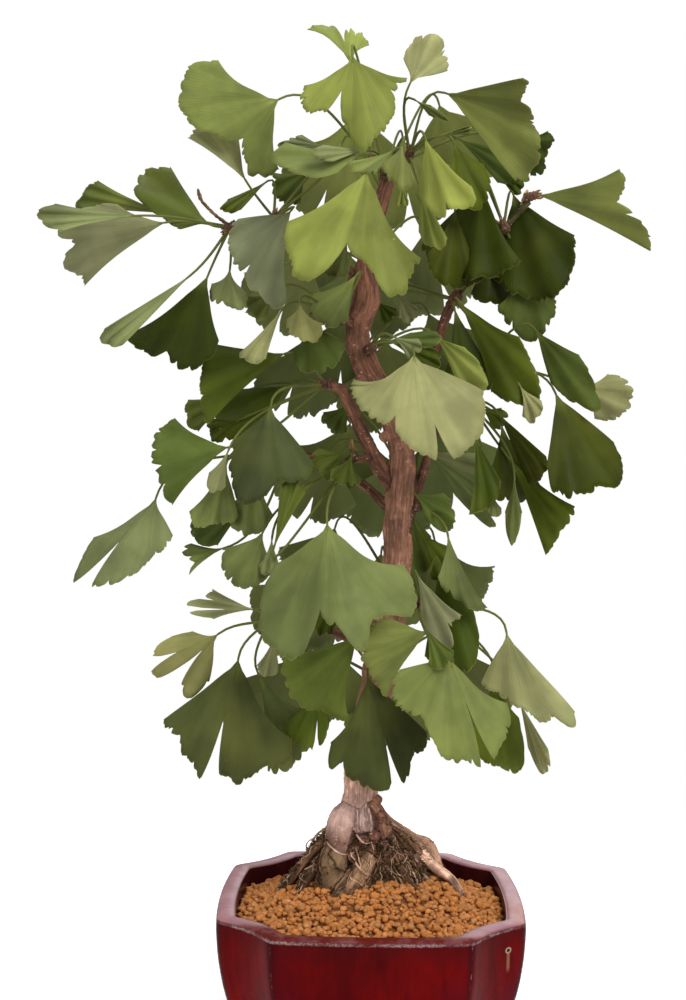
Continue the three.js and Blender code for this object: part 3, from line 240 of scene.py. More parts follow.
# Twigs and closed buds.
TWIGS = {
    "left bud twig": [
        [-64, 6, 363, 1.1], [-72, 7, 368.5, 0.8], [-79, 6, 375, 0.8], [-81, 6, 379, 1],
        [-81.5, 6, 382, 0.6],
    ],
    "hanging bud": [[-29, -1, 183, 1.4], [-31, -3, 177, 1.1], [-31, -4, 171, 1.6], [-30, -4, 165, 0.8]],
    "inner bud": [[-8, -3, 261, 1.4], [-10, -6, 264, 1.3], [-10, -7, 267, 0.8]],
    "right bracts": [[67, 5, 373, 1.1], [68, 6, 377.5, 1.2], [69.5, 6, 382, 0.6]],
}

# The lump of fine roots, moss and old soil between the thick roots: [height, radius] of its profile.
ROOT_LUMP = [[54, 36], [62, 34], [70, 30], [78, 23], [86, 15], [93, 8]]
ROOT_LUMP_X = -3
ROOT_LUMP_Y = 1
ROOT_LUMP_DEPTH = 0.62      # its depth as a share of its width
LUMP_TOP = 92               # below this height it shows between the roots

# ---------------------------------------------------------------- leaves of the front
# Each spray is its spur [x', z', y] in the front elevation and its leaves. Each leaf is a row of
# its name, the blade's foot [x', z', y], its heading and spread in degrees, the rim's radii from
# one side of the fan to the other, the notches [place, depth left, half width], its pose
# [tilt towards the front, roll, cup, curl] and its tone, which also holds the leaf's painted light and shade.
SPRAYS = {
    "crown_front": [[4, 388, -6],
        ["A3", [-11, 441, -22], 275, 125, [26, 31.6, 32.3, 28, 27, 31.5, 43.5, 39, 36, 32, 26, 24.5, 27],
         [[-0.35, 0.62, 0.13]], [20, 10, -6, -4], "Y"],
        ["A5", [-4, 398, -24], 186, 26, [20, 24, 24, 20, 16], [], [30, 45, 0, 0], "G"],
        ["A6", [-6, 396, -28], 194, 46, [36, 41, 33, 24, 14], [], [10, 40, 0, 0], "L"],
        ["A7", [8, 398, -30], 216, 44, [22, 21, 17, 14, 12], [], [30, 30, 0, 0], "L"],
        ["A11", [-4, 389, -38], 257.5, 89, [43, 49, 52, 58, 57, 55, 48, 42, 45, 57, 58, 50, 47],
         [[-0.06, 0.68, 0.3]], [24, 5, -8, -4], "Y"],
        ["B10", [12, 401, -34], 256, 66, [13, 15, 18, 21, 18], [], [30, 0, 0, 0], "L"],
        ["B11", [12, 384, -32], 270, 40, [9, 11, 11, 11, 9], [], [20, 0, 0, 0], "Y"],
    ],
    "crown_left": [[-1, 392, 1],
        ["A4", [-12, 437, -14], 93, 98, [12, 14, 15, 19, 25],
         [[0.25, 0.6, 0.15]], [-35, 0, -3, -2], "Y"],
        ["A1", [-44, 421, -14], 209, 122, [33, 42.5, 44.5, 45, 44.5, 40, 33.5, 31, 28, 31, 36.5, 35, 32],
         [[0.3, 0.85, 0.1]], [10, -20, -7, -5], "L"],
    ],
    "crown_right": [[15, 396, -2],
        ["B1", [15, 428, -6], 62, 86, [18, 21, 25, 20, 12], [], [-15, 30, 5, 0], "P"],
        ["B2", [31, 424, -8], -20, 62, [51, 54, 52, 52.5, 50, 47, 43.3, 41, 38.5, 34, 36, 37.5, 36],
         [], [5, 30, 10, -3], "L"],
        ["B5", [17, 421, -16], -32, 30, [10, 14, 17, 12, 8], [], [20, 30, 0, 0], "L"],
        ["B6", [26, 404, -14], 12, 14, [16, 17, 17], [], [10, 50, 0, 0], "L"],
        ["B8", [22, 404, -26], -72, 52, [27, 29.5, 31, 33, 36, 38, 33.5, 35, 36.2, 37.2, 37.6, 36.8, 31],
         [[0, 0.92, 0.06]], [25, 15, -4, -3], "Y"],
        ["B12", [20, 381, -16], -76, 30, [20, 25, 28, 29, 26], [], [20, 30, 0, 0], "Y"],
    ],
    "crown_back": [[11, 393, 6],
        ["B3", [36, 404, 8], -30, 34, [28, 34, 36, 34, 28], [], [-10, 20, 0, 0], "M"],
        ["B4", [60, 404, 20], -25, 70, [20, 22, 18, 20, 18], [], [-20, 30, 0, 0], "D"],
        ["B9", [35, 402, -8], -68, 64, [20, 28, 32, 27, 17], [], [15, -20, -4, 0], "D"],
    ],
    "upper_left": [[-46, 367, 4],
        ["A8", [-22, 399, 6], 167, 28, [13, 15, 18, 21, 22], [], [0, 40, 0, 0], "G"],
        ["A9", [-49, 384, 4], 216, 22, [20, 24, 24, 22, 18], [], [10, 50, 0, 0], "D"],
        ["A10", [-30, 389, 10], 220, 70, [16, 18, 20, 18, 16], [], [-15, 32, 0, 0], "M"],
        ["A2", [-59, 384, -2], 122, 44, [24, 28, 30, 32, 33], [], [10, 30, -3, 0], "P"],
        ["E1", [-38, 371, -8], 229, 78, [25, 28.5, 31.3, 32.4, 34, 35.5, 35.5, 37, 41, 40, 44, 45.5, 41],
         [[0.1, 0.86, 0.06]], [15, -15, -5, -3], "W"],
    ],
    "tip_left": [[-66, 363, 6],
        ["E2", [-66, 344, -2], 263, 92, [11, 16, 16, 19, 13], [], [10, 25, -2, 0], "G"],
        ["C1", [-95, 365, 2], 189, 58, [24, 31, 36.6, 43, 47, 49, 49, 43, 49.5, 51, 47.5, 45.5, 47.5],
         [[0.05, 0.92, 0.06]], [10, -25, -5, -3], "W"],
        ["C1b", [-108, 368, -10], 182, 20, [38, 45, 45, 42, 36], [], [10, 30, 0, 0], "G"],
        ["C2", [-96, 369, 14], 166, 24, [34, 36, 38, 40, 40], [], [-20, 30, 0, 0], "M"],
        ["C3", [-75, 364, 4], 157, 64, [32, 38, 37, 22, 14], [], [-8, 30, -4, 0], "M"],
        ["C4", [-76, 341, 2], 248, 64,
         [47, 46.5, 46, 45, 42.8, 39.5, 42.5, 43.5, 43.5, 41.7, 39, 36, 30], [], [14, 32, -5, -3], "K"],
        ["C4b", [-84, 341, 0], 219, 14, [46, 50, 50, 48, 44], [], [12, 35, 0, 0], "G"],
    ],
    "arm_left": [[-16, 322, -7],
        ["E3", [-8, 342, -10], 232, 56, [22, 26, 28, 26, 22], [], [20, 22, -2, 0], "L"],
        ["E4", [-34, 329, -24], 273, 90, [10, 14, 17, 19, 14], [], [20, 0, -3, -2], "O"],
        ["E5", [-42, 326, -20], 239, 26, [28, 29, 28, 27, 24], [], [20, 40, 0, 0], "P"],
        ["E6", [-30, 322, -14], 285, 80, [18, 24, 25, 24, 20], [], [20, 10, -3, 0], "M"],
        ["E7", [-44, 335, 2], 222, 55, [14, 16, 17, 17, 14], [], [5, 35, 0, 0], "L"],
        ["E11", [-12, 360, -6], 245, 50, [18, 20, 20, 20, 18], [], [20, 0, 0, 0], "S"],
    ],
    "front_mid": [[-1, 309, -9],
        ["H1", [18, 306, -36], 267.5, 129,
         [30, 33.5, 34, 34.5, 34.5, 36, 42.5, 47, 51, 49.5, 47.5, 41, 36],
         [[-0.22, 0.83, 0.07], [0.3, 0.66, 0.07]], [28, 0, -8, -5], "P"],
        ["H2a", [3, 311, -21], 6, 26, [20, 26, 27, 24, 14], [], [20, -50, 0, 0], "M"],
        ["H2c", [6, 312, -16], -22, 30, [22, 26, 26, 24, 20], [], [10, -20, 0, 0], "D"],
        ["H2b", [27, 315, -17], -45, 44, [30, 34, 34, 26, 15], [], [20, 15, 0, 0], "Y"],
        ["H3", [8, 314, -29], -30, 50, [12, 14, 14, 14, 12], [], [20, 0, 0, 0], "G"],
    ],
    "tip_right": [[70.5, 377.5, 3],
        ["R1", [73, 378, 2], -4, 44, [57, 50, 37, 40, 39], [[-0.35, 0.88, 0.08]], [5, 35, 6, 0], "L"],
    ],
    "upper_right": [[58, 364, 5],
        ["D5", [66, 345, 10], 278, 80, [20, 26, 33, 28, 22], [], [3, -12, -3, 0], "M"],
        ["D1", [50, 394, 18], -40, 25, [20, 21, 21, 20, 18], [], [-10, -35, 0, 0], "D"],
        ["D2", [62, 379, 9], -72, 76, [36, 42, 47, 51, 48, 41, 34], [], [10, 16, -5, 0], "K"],
        ["D3", [48, 384, 2], 262, 70, [40, 44, 44, 43, 40], [], [8, 22, -5, 0], "K"],
        ["D6", [36, 372, -4], 266, 56, [25, 32, 36, 36, 34], [], [8, -25, 0, 0], "K"],
        ["D4", [52, 362, 17], 285, 64, [30, 33, 34, 35, 32], [], [5, -36, -3, 0], "K"],
    ],
    "arm_right": [[36, 331, 2],
        ["E8", [0, 331, 9], -50, 50, [11, 12, 12, 12, 11], [], [0, 20, 0, 0], "D"],
        ["E9", [10, 334, 11], -60, 50, [12, 14, 14, 14, 12], [], [0, -20, 0, 0], "P"],
        ["D8", [38, 330, -6], -50, 40, [44, 54, 58, 44, 32], [], [15, 15, -4, -3], "D"],
        ["D9", [36, 327, -4], -78, 44, [34, 36, 38, 40, 36], [], [14, -14, -4, 0], "K"],
        ["D13", [66, 292, -14], -60, 50, [14, 17, 17, 15, 12], [], [20, 0, 0, 0], "P"],
    ],
    "shoulder_right": [[50, 304, 5],
        ["D10", [72, 318, -2], -51, 42, [27, 38, 47, 35, 24], [], [15, 26, -4, 0], "M"],
        ["D11", [92, 292, 5], -20, 84, [17, 23, 25, 24, 15], [], [0, 0, -3, 0], "P"],
        ["D12", [82, 289, -8], -68, 56, [34, 43.5, 45.5, 47.7, 48, 47, 48, 47.3, 50.2, 51, 47, 42.5, 35],
         [], [18, -28, -7, -3], "K"],
    ],
    "inner_right": [[42, 286, 6],
        ["D14", [48, 282, 2], -30, 60, [12, 13, 13, 12, 10], [], [10, -30, 0, 0], "D"],
        ["D16", [56, 280, -6], -54, 24, [36, 36, 36, 34, 30], [], [11, 30, 0, 0], "K"],
        ["D17", [58, 274, 4], 278, 50, [26, 33, 35, 35, 34], [], [8, -38, -3, 0], "K"],
        ["D18", [62, 258, 0], -52, 34, [46, 42, 39, 38, 36], [], [8, 20, -4, 0], "D"],
        ["D19", [64, 250, -8], 269, 28, [16, 24, 31, 22, 16], [], [20, 55, 0, 0], "H"],
        ["D20", [54, 243, 0], -80, 50, [8, 10, 11, 10, 8], [], [10, -30, 0, 0], "G"],
        ["D21", [46, 269, -4], -77, 34, [36, 34, 33, 28, 24], [], [15, 15, 0, 0], "D"],
    ],
    "branch_left": [[-22, 292, -2],
        ["G1", [-40, 306, 0], 198, 50, [36, 38, 41, 45, 48], [], [8, 25, -5, 0], "D"],
        ["G2", [-38, 292, 8], 214, 56, [34, 37, 38, 38, 36], [], [5, 32, -3, 0], "D"],
        ["G3", [-60, 288, 14], 205, 34, [25, 27, 28, 28, 27], [], [0, 38, 0, 0], "M"],
        ["G4", [-66, 263, -6], 189, 74, [28, 34, 35, 35, 37],
         [[0.17, 0.9, 0.08]], [12, 28, -5, -3], "M"],
        ["G5", [-47, 282, -24], 265, 84, [23, 28, 34, 39.5, 45.5, 45.7, 43, 36, 34.5, 36, 37, 36, 33.5],
         [], [22, -5, -6, -4], "S"],
        ["G6", [-60, 276, 2], 205, 50, [14, 16, 16, 16, 14], [], [5, 30, 0, 0], "K"],
        ["G7", [-66, 262, -14], 248, 36, [14, 19, 21, 19, 17], [], [10, 45, 0, 0], "P"],
        ["G9", [-10, 284, 10], 230, 60, [14, 16, 16, 16, 14], [], [5, 30, 0, 0], "M"],
    ],
    "outer_left": [[-38, 262, 3],
        ["G8", [-67, 256, -4], 258, 50, [28, 33, 28, 28, 25], [], [16, 30, -3, 0], "H"],
        ["G8b", [-54, 254, -8], 264, 54, [22, 29, 31, 29, 23], [], [15, 0, -3, 0], "H"],
        ["J1", [-99, 240, 0], 253.5, 81, [34, 54, 46, 37, 27, 23, 19],
         [[-0.57, 0.45, 0.1]], [12, 24, -6, -4], "G"],
        ["J3a", [-58, 236, 8], 212, 44, [24, 27, 28, 26, 22], [], [5, 36, 0, 0], "M"],
        ["J3b", [-68, 217, 4], 195, 46, [15, 19, 17, 15, 20], [], [10, 40, 0, 0], "L"],
    ],
    "front_left": [[-10, 258, -8],
        ["K3", [-21, 229, -36], 275.5, 113, [31, 44, 57, 63, 64, 52, 46, 61, 50, 50.5, 57, 51, 40],
         [[-0.17, 0.76, 0.1]], [24, 0, -9, -6], "H"],
        ["G10a", [-12, 262, -16], 215, 80, [14, 16, 16, 16, 14], [], [20, 0, -2, 0], "M"],
        ["G10b", [-10, 260, -20], 255, 80, [12, 14, 14, 14, 12], [], [20, 0, -2, 0], "M"],
        ["G11", [-45, 218, -32], 72, 25, [28, 31, 32, 31, 28], [], [-10, 50, 0, 0], "M"],
        ["J4", [-50, 225, -20], 246, 84, [20, 26, 28, 24, 18], [], [22, -5, -4, -2], "H"],
        ["J4b", [-46, 222, -26], 265, 40, [14, 17, 17, 17, 14], [], [10, 0, 0, 0], "G"],
    ],
    "low_left": [[-47.5, 184, -2.5],
        ["J5", [-53, 189, -4], 174, 38, [22, 23, 31, 29, 20],
         [[-0.32, 0.75, 0.1], [0.3, 0.45, 0.12]], [0, 10, 0, 0], "P"],
        ["J6", [-70, 178, -4], 217, 84, [12, 26, 34, 34, 28, 33, 22],
         [[-0.3, 0.6, 0.12], [0.2, 0.35, 0.2]], [5, 0, -3, 0], "O"],
        ["J8", [-44, 178, 4], 257, 36, [17, 19, 20, 19, 17], [], [5, 35, 0, 0], "P"],
        ["J9", [-61, 167, -10], 262, 84,
         [44.5, 45.7, 45.5, 51, 53.5, 59.5, 54, 57, 55, 51, 53, 52, 44.5], [[-0.12, 0.46, 0.1]],
         [15, 0, -8, -5], "S"],
        ["K2", [-52, 160, 2], -62, 44, [45, 46, 42, 36, 26], [], [6, -4, -3, 0], "H"],
    ],
    "low_front": [[4, 182, -9],
        ["K4", [-6, 178, -20], 228, 72, [36, 39, 42, 39, 40], [], [15, -10, -5, -3], "M"],
        ["K6", [-18, 198, -9], 258, 34, [17, 20, 21, 19, 16], [], [5, 25, 0, 0], "D"],
        ["K7", [-24, 154, -6], 258, 60, [24, 28, 30, 26, 16], [[0.3, 0.5, 0.08]], [12, 28, 0, 0], "D"],
        ["N1", [-2, 160, -14], 279, 74, [35.5, 45.5, 43, 48, 50, 52.7, 53, 53, 50.5, 43.5, 43, 42, 38],
         [[0.17, 0.545, 0.08]], [15, 0, -7, -4], "T"],
    ],
    "low_right": [[22, 192, -4],
        ["N3", [35, 170, -30], 259.5, 121,
         [24, 29.7, 31.5, 33.5, 32, 32.5, 40, 48.5, 50, 54, 48, 43.5, 35], [[0.5, 0.5, 0.06]],
         [24, 0, -8, -5], "L"],
        ["N2", [26, 180, -23], 200, 76, [20, 28, 33, 33, 36], [], [10, -20, -4, 0], "L"],
        ["N4", [24, 182, -29], -62, 45, [17, 20, 20, 20, 17], [], [20, 0, 0, 0], "M"],
        ["N5", [20, 206, -20], -64, 44, [22, 34, 37, 27, 28], [[0.3, 0.85, 0.08]], [15, 20, -3, 0], "W"],
        ["N6", [30, 212, -6], -76, 44, [44, 50, 52, 44, 27], [], [12, -6, -4, 0], "D"],
        ["N13", [61, 180, -6], 277.5, 67,
         [26, 27, 27.5, 28, 29.5, 31.5, 34.5, 36, 41.5, 44.5, 45.5, 52.5, 48], [], [12, 25, -6, -3], "P"],
        ["N14", [56, 160, 6], -86, 52, [36, 39, 42, 44, 22], [], [8, -36, -4, 0], "D"],
        ["N15", [67, 149, 0], -69, 20, [22, 33, 35, 33, 26], [], [10, 50, 0, 0], "P"],
    ],
    "mid_right": [[20, 238, 2],
        ["N7", [34, 224, -12], -82, 42, [20, 25, 29, 36, 38], [], [15, -25, 0, 0], "H"],
        ["N8", [20, 227, 2], -52, 44, [24, 28, 28, 22, 16], [], [0, -6, 0, 0], "D"],
        ["N9", [16, 238, 12], -74, 38, [33, 34, 32, 24, 18], [], [5, -32, 0, 0], "M"],
        ["N10", [18, 243, -2], -32, 64, [15, 24, 22, 18, 14], [], [10, 10, -2, 0], "M"],
        ["N11", [24, 262, 11], -42, 30, [24, 46, 40, 38, 34], [], [0, 20, -3, 0], "H"],
        ["N12", [22, 262, 17], -22, 40, [34, 34, 34, 30, 24], [], [0, -38, -3, 0], "G"],
    ],
}

# Leaves behind the trunk, one fan of them at each spur: [name, spur [x', z', y], how many,
# first and last bearing, reach, rise, seed].
BACK_SPRAYS = [
    ["back_crown", [3, 380, 5], 4, -48, 46, 36, 25, 65],
    ["back_upper", [-4, 348, 5], 4, -75, 45, 38, 4, 20],
    ["back_shoulder", [-6, 306, 5], 4, -60, 60, 38, 6, 21],
    ["back_middle", [13, 254, 9], 4, -62, 30, 38, 8, 50],
    ["back_lower", [8, 204, 11], 4, -75, 38, 40, 8, 44],
    ["back_low", [2, 160, 10], 4, -78, 62, 38, 2, 63],
]


# ---------------------------------------------------------------- colours
# The leaves' greens and the pale undersides. The greens also hold painted light and shade: lighter for the
# lit crown, darker (K, S, T) for the shaded leaves inside the tree.
TONES = {
    "Y": (138, 146, 66),
    "L": (120, 129, 66),
    "M": (87, 100, 40),
    "D": (75, 87, 19),
    "K": (55, 63, 6),
    "G": (127, 133, 82),
    "S": (70, 78, 40),
    "T": (62, 67, 30),
    "H": (108, 118, 66),
    "W": (137, 140, 100),
    "P": (154, 155, 103),
    "O": (138, 138, 84),
}
TONE_GAIN = 0.8
STALK_GREEN = (104, 110, 52)
STALK_BROWN = (132, 104, 66)
SHOOT_BROWN = (98, 70, 54)
SCALE_BROWN = (126, 84, 60)
SCALE_GREEN = (132, 108, 66)
BARK_UPPER = (116, 78, 60)
BARK_HALFWAY = (138, 97, 77)
BARK_MIDDLE = (158, 114, 90)
BARK_LOWER = (194, 154, 136)
BARK_FLARE = (190, 156, 144)
# the trunk's bark by height
TRUNK_TONES = [
    [88, BARK_LOWER], [97, BARK_FLARE], [106, BARK_LOWER], [150, BARK_MIDDLE], [240, BARK_HALFWAY],
    [290, BARK_UPPER],
]
SHOOT_GREEN = (72, 68, 38)
TWIG_BROWN = (120, 96, 62)
BRACT_TAN = (176, 140, 104)
ROOT_TONES = {
    "left shoulder": (124, 92, 78),
    "left end": (128, 102, 74),
    "middle": (112, 76, 60),
    "right knob": (120, 84, 66),
    "front": (136, 104, 78),
    "right": (176, 136, 112),
    "right end": (214, 172, 146),
    "right front": (110, 80, 58),
    "left": (84, 58, 42),
    "left front": (90, 64, 46),
}
ROOT_OTHER = (140, 106, 84)
KNOB_BROWN = (118, 80, 64)
FINE_ROOT_BROWN = (118, 84, 60)
SMOOTH_ROOTS = ("left shoulder", "left end")
# hair roots and moss keep mostly off these
BARE_ROOTS = ("left shoulder", "left end", "front", "right", "right end", "trunk")
LUMP_DARK = (56, 37, 25)
LUMP_LIGHT = (112, 82, 60)
LUMP_GREEN = (76, 70, 34)
HAIR_TONES = [[0.3, (206, 168, 138)], [0.6, (150, 112, 84)], [1.0, (82, 56, 38)]]
SCAR_PALE = (196, 162, 142)
MOSS_TONES = [
    (58, 56, 26), (80, 70, 36), (52, 36, 22), (108, 78, 54), (38, 26, 16), (70, 48, 32), (132, 98, 72),
]
SOIL_SHADE = (136, 84, 46)
CLAY = (192, 127, 71)


def linear(red, green, blue, gain=1.0):
    """A screen colour, 0 to 255, as the light that it stands for."""
    parts = []
    for part in (red, green, blue):
        share = part / 255
        parts.append(gain * (share / 12.92 if share <= 0.04045 else ((share + 0.055) / 1.055) ** 2.4))
    return (*parts, 1.0)


def tint_of(color, gain=1.0):
    return np.array(linear(*color, gain))


def toward(tint, other, share):
    return tint + (other - tint) * share


# ---------------------------------------------------------------- numbers and curves
def draws(seed):
    """A source of numbers from 0 to 1, the same as in the model's source."""
    state = seed

    def draw():
        nonlocal state
        state = (state * 1664525 + 1013904223) % 2**32
        return state / 2**32

    return draw


def unit(vector):
    return vector / np.linalg.norm(vector)


def noise_at(points, scale, shift=0.0):
    """Smooth noise from about -1 to 1 at points, with features of about a scale."""
    offset = Vector((shift, shift * 1.7, shift * 0.6))
    return np.array([noise.noise(Vector(point) / scale + offset) for point in points])


def between(before, start, end, after, f):
    """The place at f, from 0 to 1, on a smooth curve from start to end."""
    bend = 2 * before - 5 * start + 4 * end - after
    rest = 3 * start - before - 3 * end + after
    return 0.5 * (2 * start + (end - before) * f + bend * f**2 + rest * f**3)


def smooth_path(path, step):
    """Points about a step apart on a smooth curve through path, each [x, y, z, radius]."""
    path = np.asarray(path, float)
    out = []
    for i in range(len(path) - 1):
        before = path[max(i - 1, 0)]
        after = path[min(i + 2, len(path) - 1)]
        count = max(2, int(np.linalg.norm(path[i + 1][:3] - path[i][:3]) / step))
        out += [between(before, path[i], path[i + 1], after, f) for f in np.arange(count) / count]
    out.append(path[-1])
    return np.array(out)


# ---------------------------------------------------------------- meshes
def mesh_piece(name, points, faces, material):
    """A new object from points in millimetres and faces as lists of point numbers."""
    mesh = bpy.data.meshes.new(name)
    mesh.from_pydata((np.asarray(points, float) * MM).tolist(), [], faces)
    mesh.validate()
    mesh.polygons.foreach_set("use_smooth", [True] * len(mesh.polygons))
    mesh.materials.append(material)
    piece = bpy.data.objects.new(name, mesh)
    bpy.context.scene.collection.objects.link(piece)
    return piece


def vertex_rows(mesh, field):
    """A field of the mesh's vertices, one row for each."""
    rows = np.zeros(len(mesh.vertices) * 3)
    mesh.vertices.foreach_get(field, rows)
    return rows.reshape(-1, 3)


def paint(piece, name, values):
    """Keeps one value for each point: a colour, a vector or a number."""
    values = np.asarray(values, float)
    kind = "FLOAT" if values.ndim == 1 else "FLOAT_COLOR" if values.shape[1] == 4 else "FLOAT_VECTOR"
    field = {"FLOAT": "value", "FLOAT_COLOR": "color", "FLOAT_VECTOR": "vector"}[kind]
    layer = piece.data.attributes.new(name, kind, "POINT")
    layer.data.foreach_set(field, values.ravel())


def modified(piece, kind, **settings):
    """The piece with a modifier worked into its mesh."""
    modifier = piece.modifiers.new("change", kind)
    for key, value in settings.items():
        setattr(modifier, key, value)
    graph = bpy.context.evaluated_depsgraph_get()
    mesh = bpy.data.meshes.new_from_object(piece.evaluated_get(graph))
    piece.modifiers.clear()
    old = piece.data
    piece.data = mesh
    bpy.data.meshes.remove(old)
    mesh.polygons.foreach_set("use_smooth", [True] * len(mesh.polygons))
    return piece


def loft_faces(rings, sides, closed_ends=True):
    """Faces over rings of equally many points, numbered ring by ring."""
    faces = []
    for ring in range(rings - 1):
        for side in range(sides):
            a = ring * sides + side
            b = ring * sides + (side + 1) % sides
            faces.append([a, b, b + sides, a + sides])
    if closed_ends:
        faces.append(list(range(sides))[::-1])
        faces.append(list(range((rings - 1) * sides, rings * sides)))
    return faces


def tube_points(path, sides):
    """Rings of points around a path of [x, y, z, radius]."""
    centres = path[:, :3]
    along = np.gradient(centres, axis=0)
    along /= np.linalg.norm(along, axis=1)[:, None] + 1e-9
    across = np.array([0.0, -1.0, 0.0]) if abs(along[0][1]) < 0.9 else np.array([1.0, 0.0, 0.0])
    angles = np.arange(sides) / sides * 2 * math.pi
    rings = []
    for centre, ahead, radius in zip(centres, along, path[:, 3]):
        across = unit(across - ahead * across.dot(ahead))
        up = np.cross(ahead, across)
        rings.append(centre + radius * (np.outer(np.cos(angles), across) + np.outer(np.sin(angles), up)))
    return np.concatenate(rings)


class Skin:
    """Points, faces and painted values that grow part by part."""

    def __init__(self):
        self.points = []
        self.faces = []
        self.paint = {}

    def add(self, points, faces, **values):
        start = sum(len(part) for part in self.points)
        self.points.append(np.asarray(points, float))
        self.faces.extend([[i + start for i in face] for face in faces])
        for name, value in values.items():
            value = np.asarray(value, float)
            rows = value if value.ndim and len(value) == len(points) else np.tile(value, (len(points), 1))
            self.paint.setdefault(name, []).append(rows.reshape(len(points), -1))

    def tube(self, path, sides, **values):
        self.add(tube_points(path, sides), loft_faces(len(path), sides), **values)

    def make(self, name, material):
        piece = mesh_piece(name, np.concatenate(self.points), self.faces, material)
        for key, parts in self.paint.items():
            rows = np.concatenate(parts)
            paint(piece, key, rows[:, 0] if rows.shape[1] == 1 else rows)
        return piece


# ---------------------------------------------------------------- material nodes
class Value:
    """What a node puts out. Arithmetic on it adds the math nodes for it."""

    def __init__(self, nodes, socket):
        self.nodes = nodes
        self.socket = socket

    def __add__(self, other):
        return self.nodes.math("ADD", self, other)

    def __radd__(self, other):
        return self.nodes.math("ADD", other, self)

    def __sub__(self, other):
        return self.nodes.math("SUBTRACT", self, other)

    def __rsub__(self, other):
        return self.nodes.math("SUBTRACT", other, self)

    def __mul__(self, other):
        return self.nodes.math("MULTIPLY", self, other)

    def __rmul__(self, other):
        return self.nodes.math("MULTIPLY", other, self)

    def __abs__(self):
        return self.nodes.math("ABSOLUTE", self)


class Nodes:
    """A small shorthand for building one material."""

    def __init__(self, name):
        self.material = bpy.data.materials.new(name)
        self.material.use_nodes = True
        self.tree = self.material.node_tree
        self.shader = self.tree.nodes["Principled BSDF"]
        self.place = self.value(self.add("ShaderNodeTexCoord").outputs["Object"])

    def value(self, socket):
        return Value(self, socket)

    def add(self, kind, inputs=None, **settings):
        """A node with settings, and with values or links for its inputs."""
        node = self.tree.nodes.new(kind)
        for key, value in settings.items():
            setattr(node, key, value)
        for key, value in (inputs or {}).items():
            self.plug(value, node.inputs[key])
        return node

    def plug(self, source, socket):
        if isinstance(source, Value):
            self.tree.links.new(source.socket, socket)
        elif source is not None:
            socket.default_value = source

    def math(self, operation, a, b=None, clamp=False):
        node = self.add("ShaderNodeMath", {0: a, 1: b}, operation=operation, use_clamp=clamp)
        return self.value(node.outputs[0])

    def mix(self, share, a, b):
        """The colour a, with a share of b."""
        node = self.add("ShaderNodeMix", {0: share, 6: a, 7: b}, data_type="RGBA")
        return self.value(node.outputs[2])

    def attribute(self, name, output="Fac"):
        return self.value(self.add("ShaderNodeAttribute", attribute_name=name).outputs[output])

    def parts(self, vector):
        return [self.value(socket) for socket in self.add("ShaderNodeSeparateXYZ", {0: vector}).outputs]

    def joined(self, x, y, z):
        return self.value(self.add("ShaderNodeCombineXYZ", {0: x, 1: y, 2: z}).outputs[0])

    def scaled(self, vector, factors):
        node = self.add("ShaderNodeVectorMath", {0: vector, 1: factors}, operation="MULTIPLY")
        return self.value(node.outputs[0])

    def shade(self, color, value):
        """Multiplies a colour by a number."""
        node = self.add("ShaderNodeVectorMath", {0: color, "Scale": value}, operation="SCALE")
        return self.value(node.outputs[0])

    def noise(self, vector, scale, detail=3.0, roughness=0.55, distortion=0.0):
        inputs = {"Vector": vector, "Scale": scale, "Detail": detail, "Roughness": roughness}
        node = self.add("ShaderNodeTexNoise", {**inputs, "Distortion": distortion})
        return self.value(node.outputs["Fac"])

    def voronoi(self, vector, scale):
        node = self.add("ShaderNodeTexVoronoi", {"Vector": vector, "Scale": scale})
        return self.value(node.outputs["Distance"])

    def ramp(self, value, low, high, from_value=0.0, to_value=1.0):
        """Maps value from low..high to from_value..to_value, smoothly and held at the ends."""
        inputs = {"Value": value, "From Min": low, "From Max": high, "To Min": from_value, "To Max": to_value}
        node = self.add("ShaderNodeMapRange", inputs, interpolation_type="SMOOTHSTEP")
        return self.value(node.outputs["Result"])

    def bump(self, height, distance, strength, normal=None):
        inputs = {"Strength": strength, "Distance": distance, "Height": height, "Normal": normal}
        return self.value(self.add("ShaderNodeBump", inputs).outputs["Normal"])

    def finish(self, color, roughness, normal, specular):
        inputs = {"Base Color": color, "Roughness": roughness, "Normal": normal}
        for key, value in {**inputs, "Specular IOR Level": specular}.items():
            self.plug(value, self.shader.inputs[key])
        return self.material


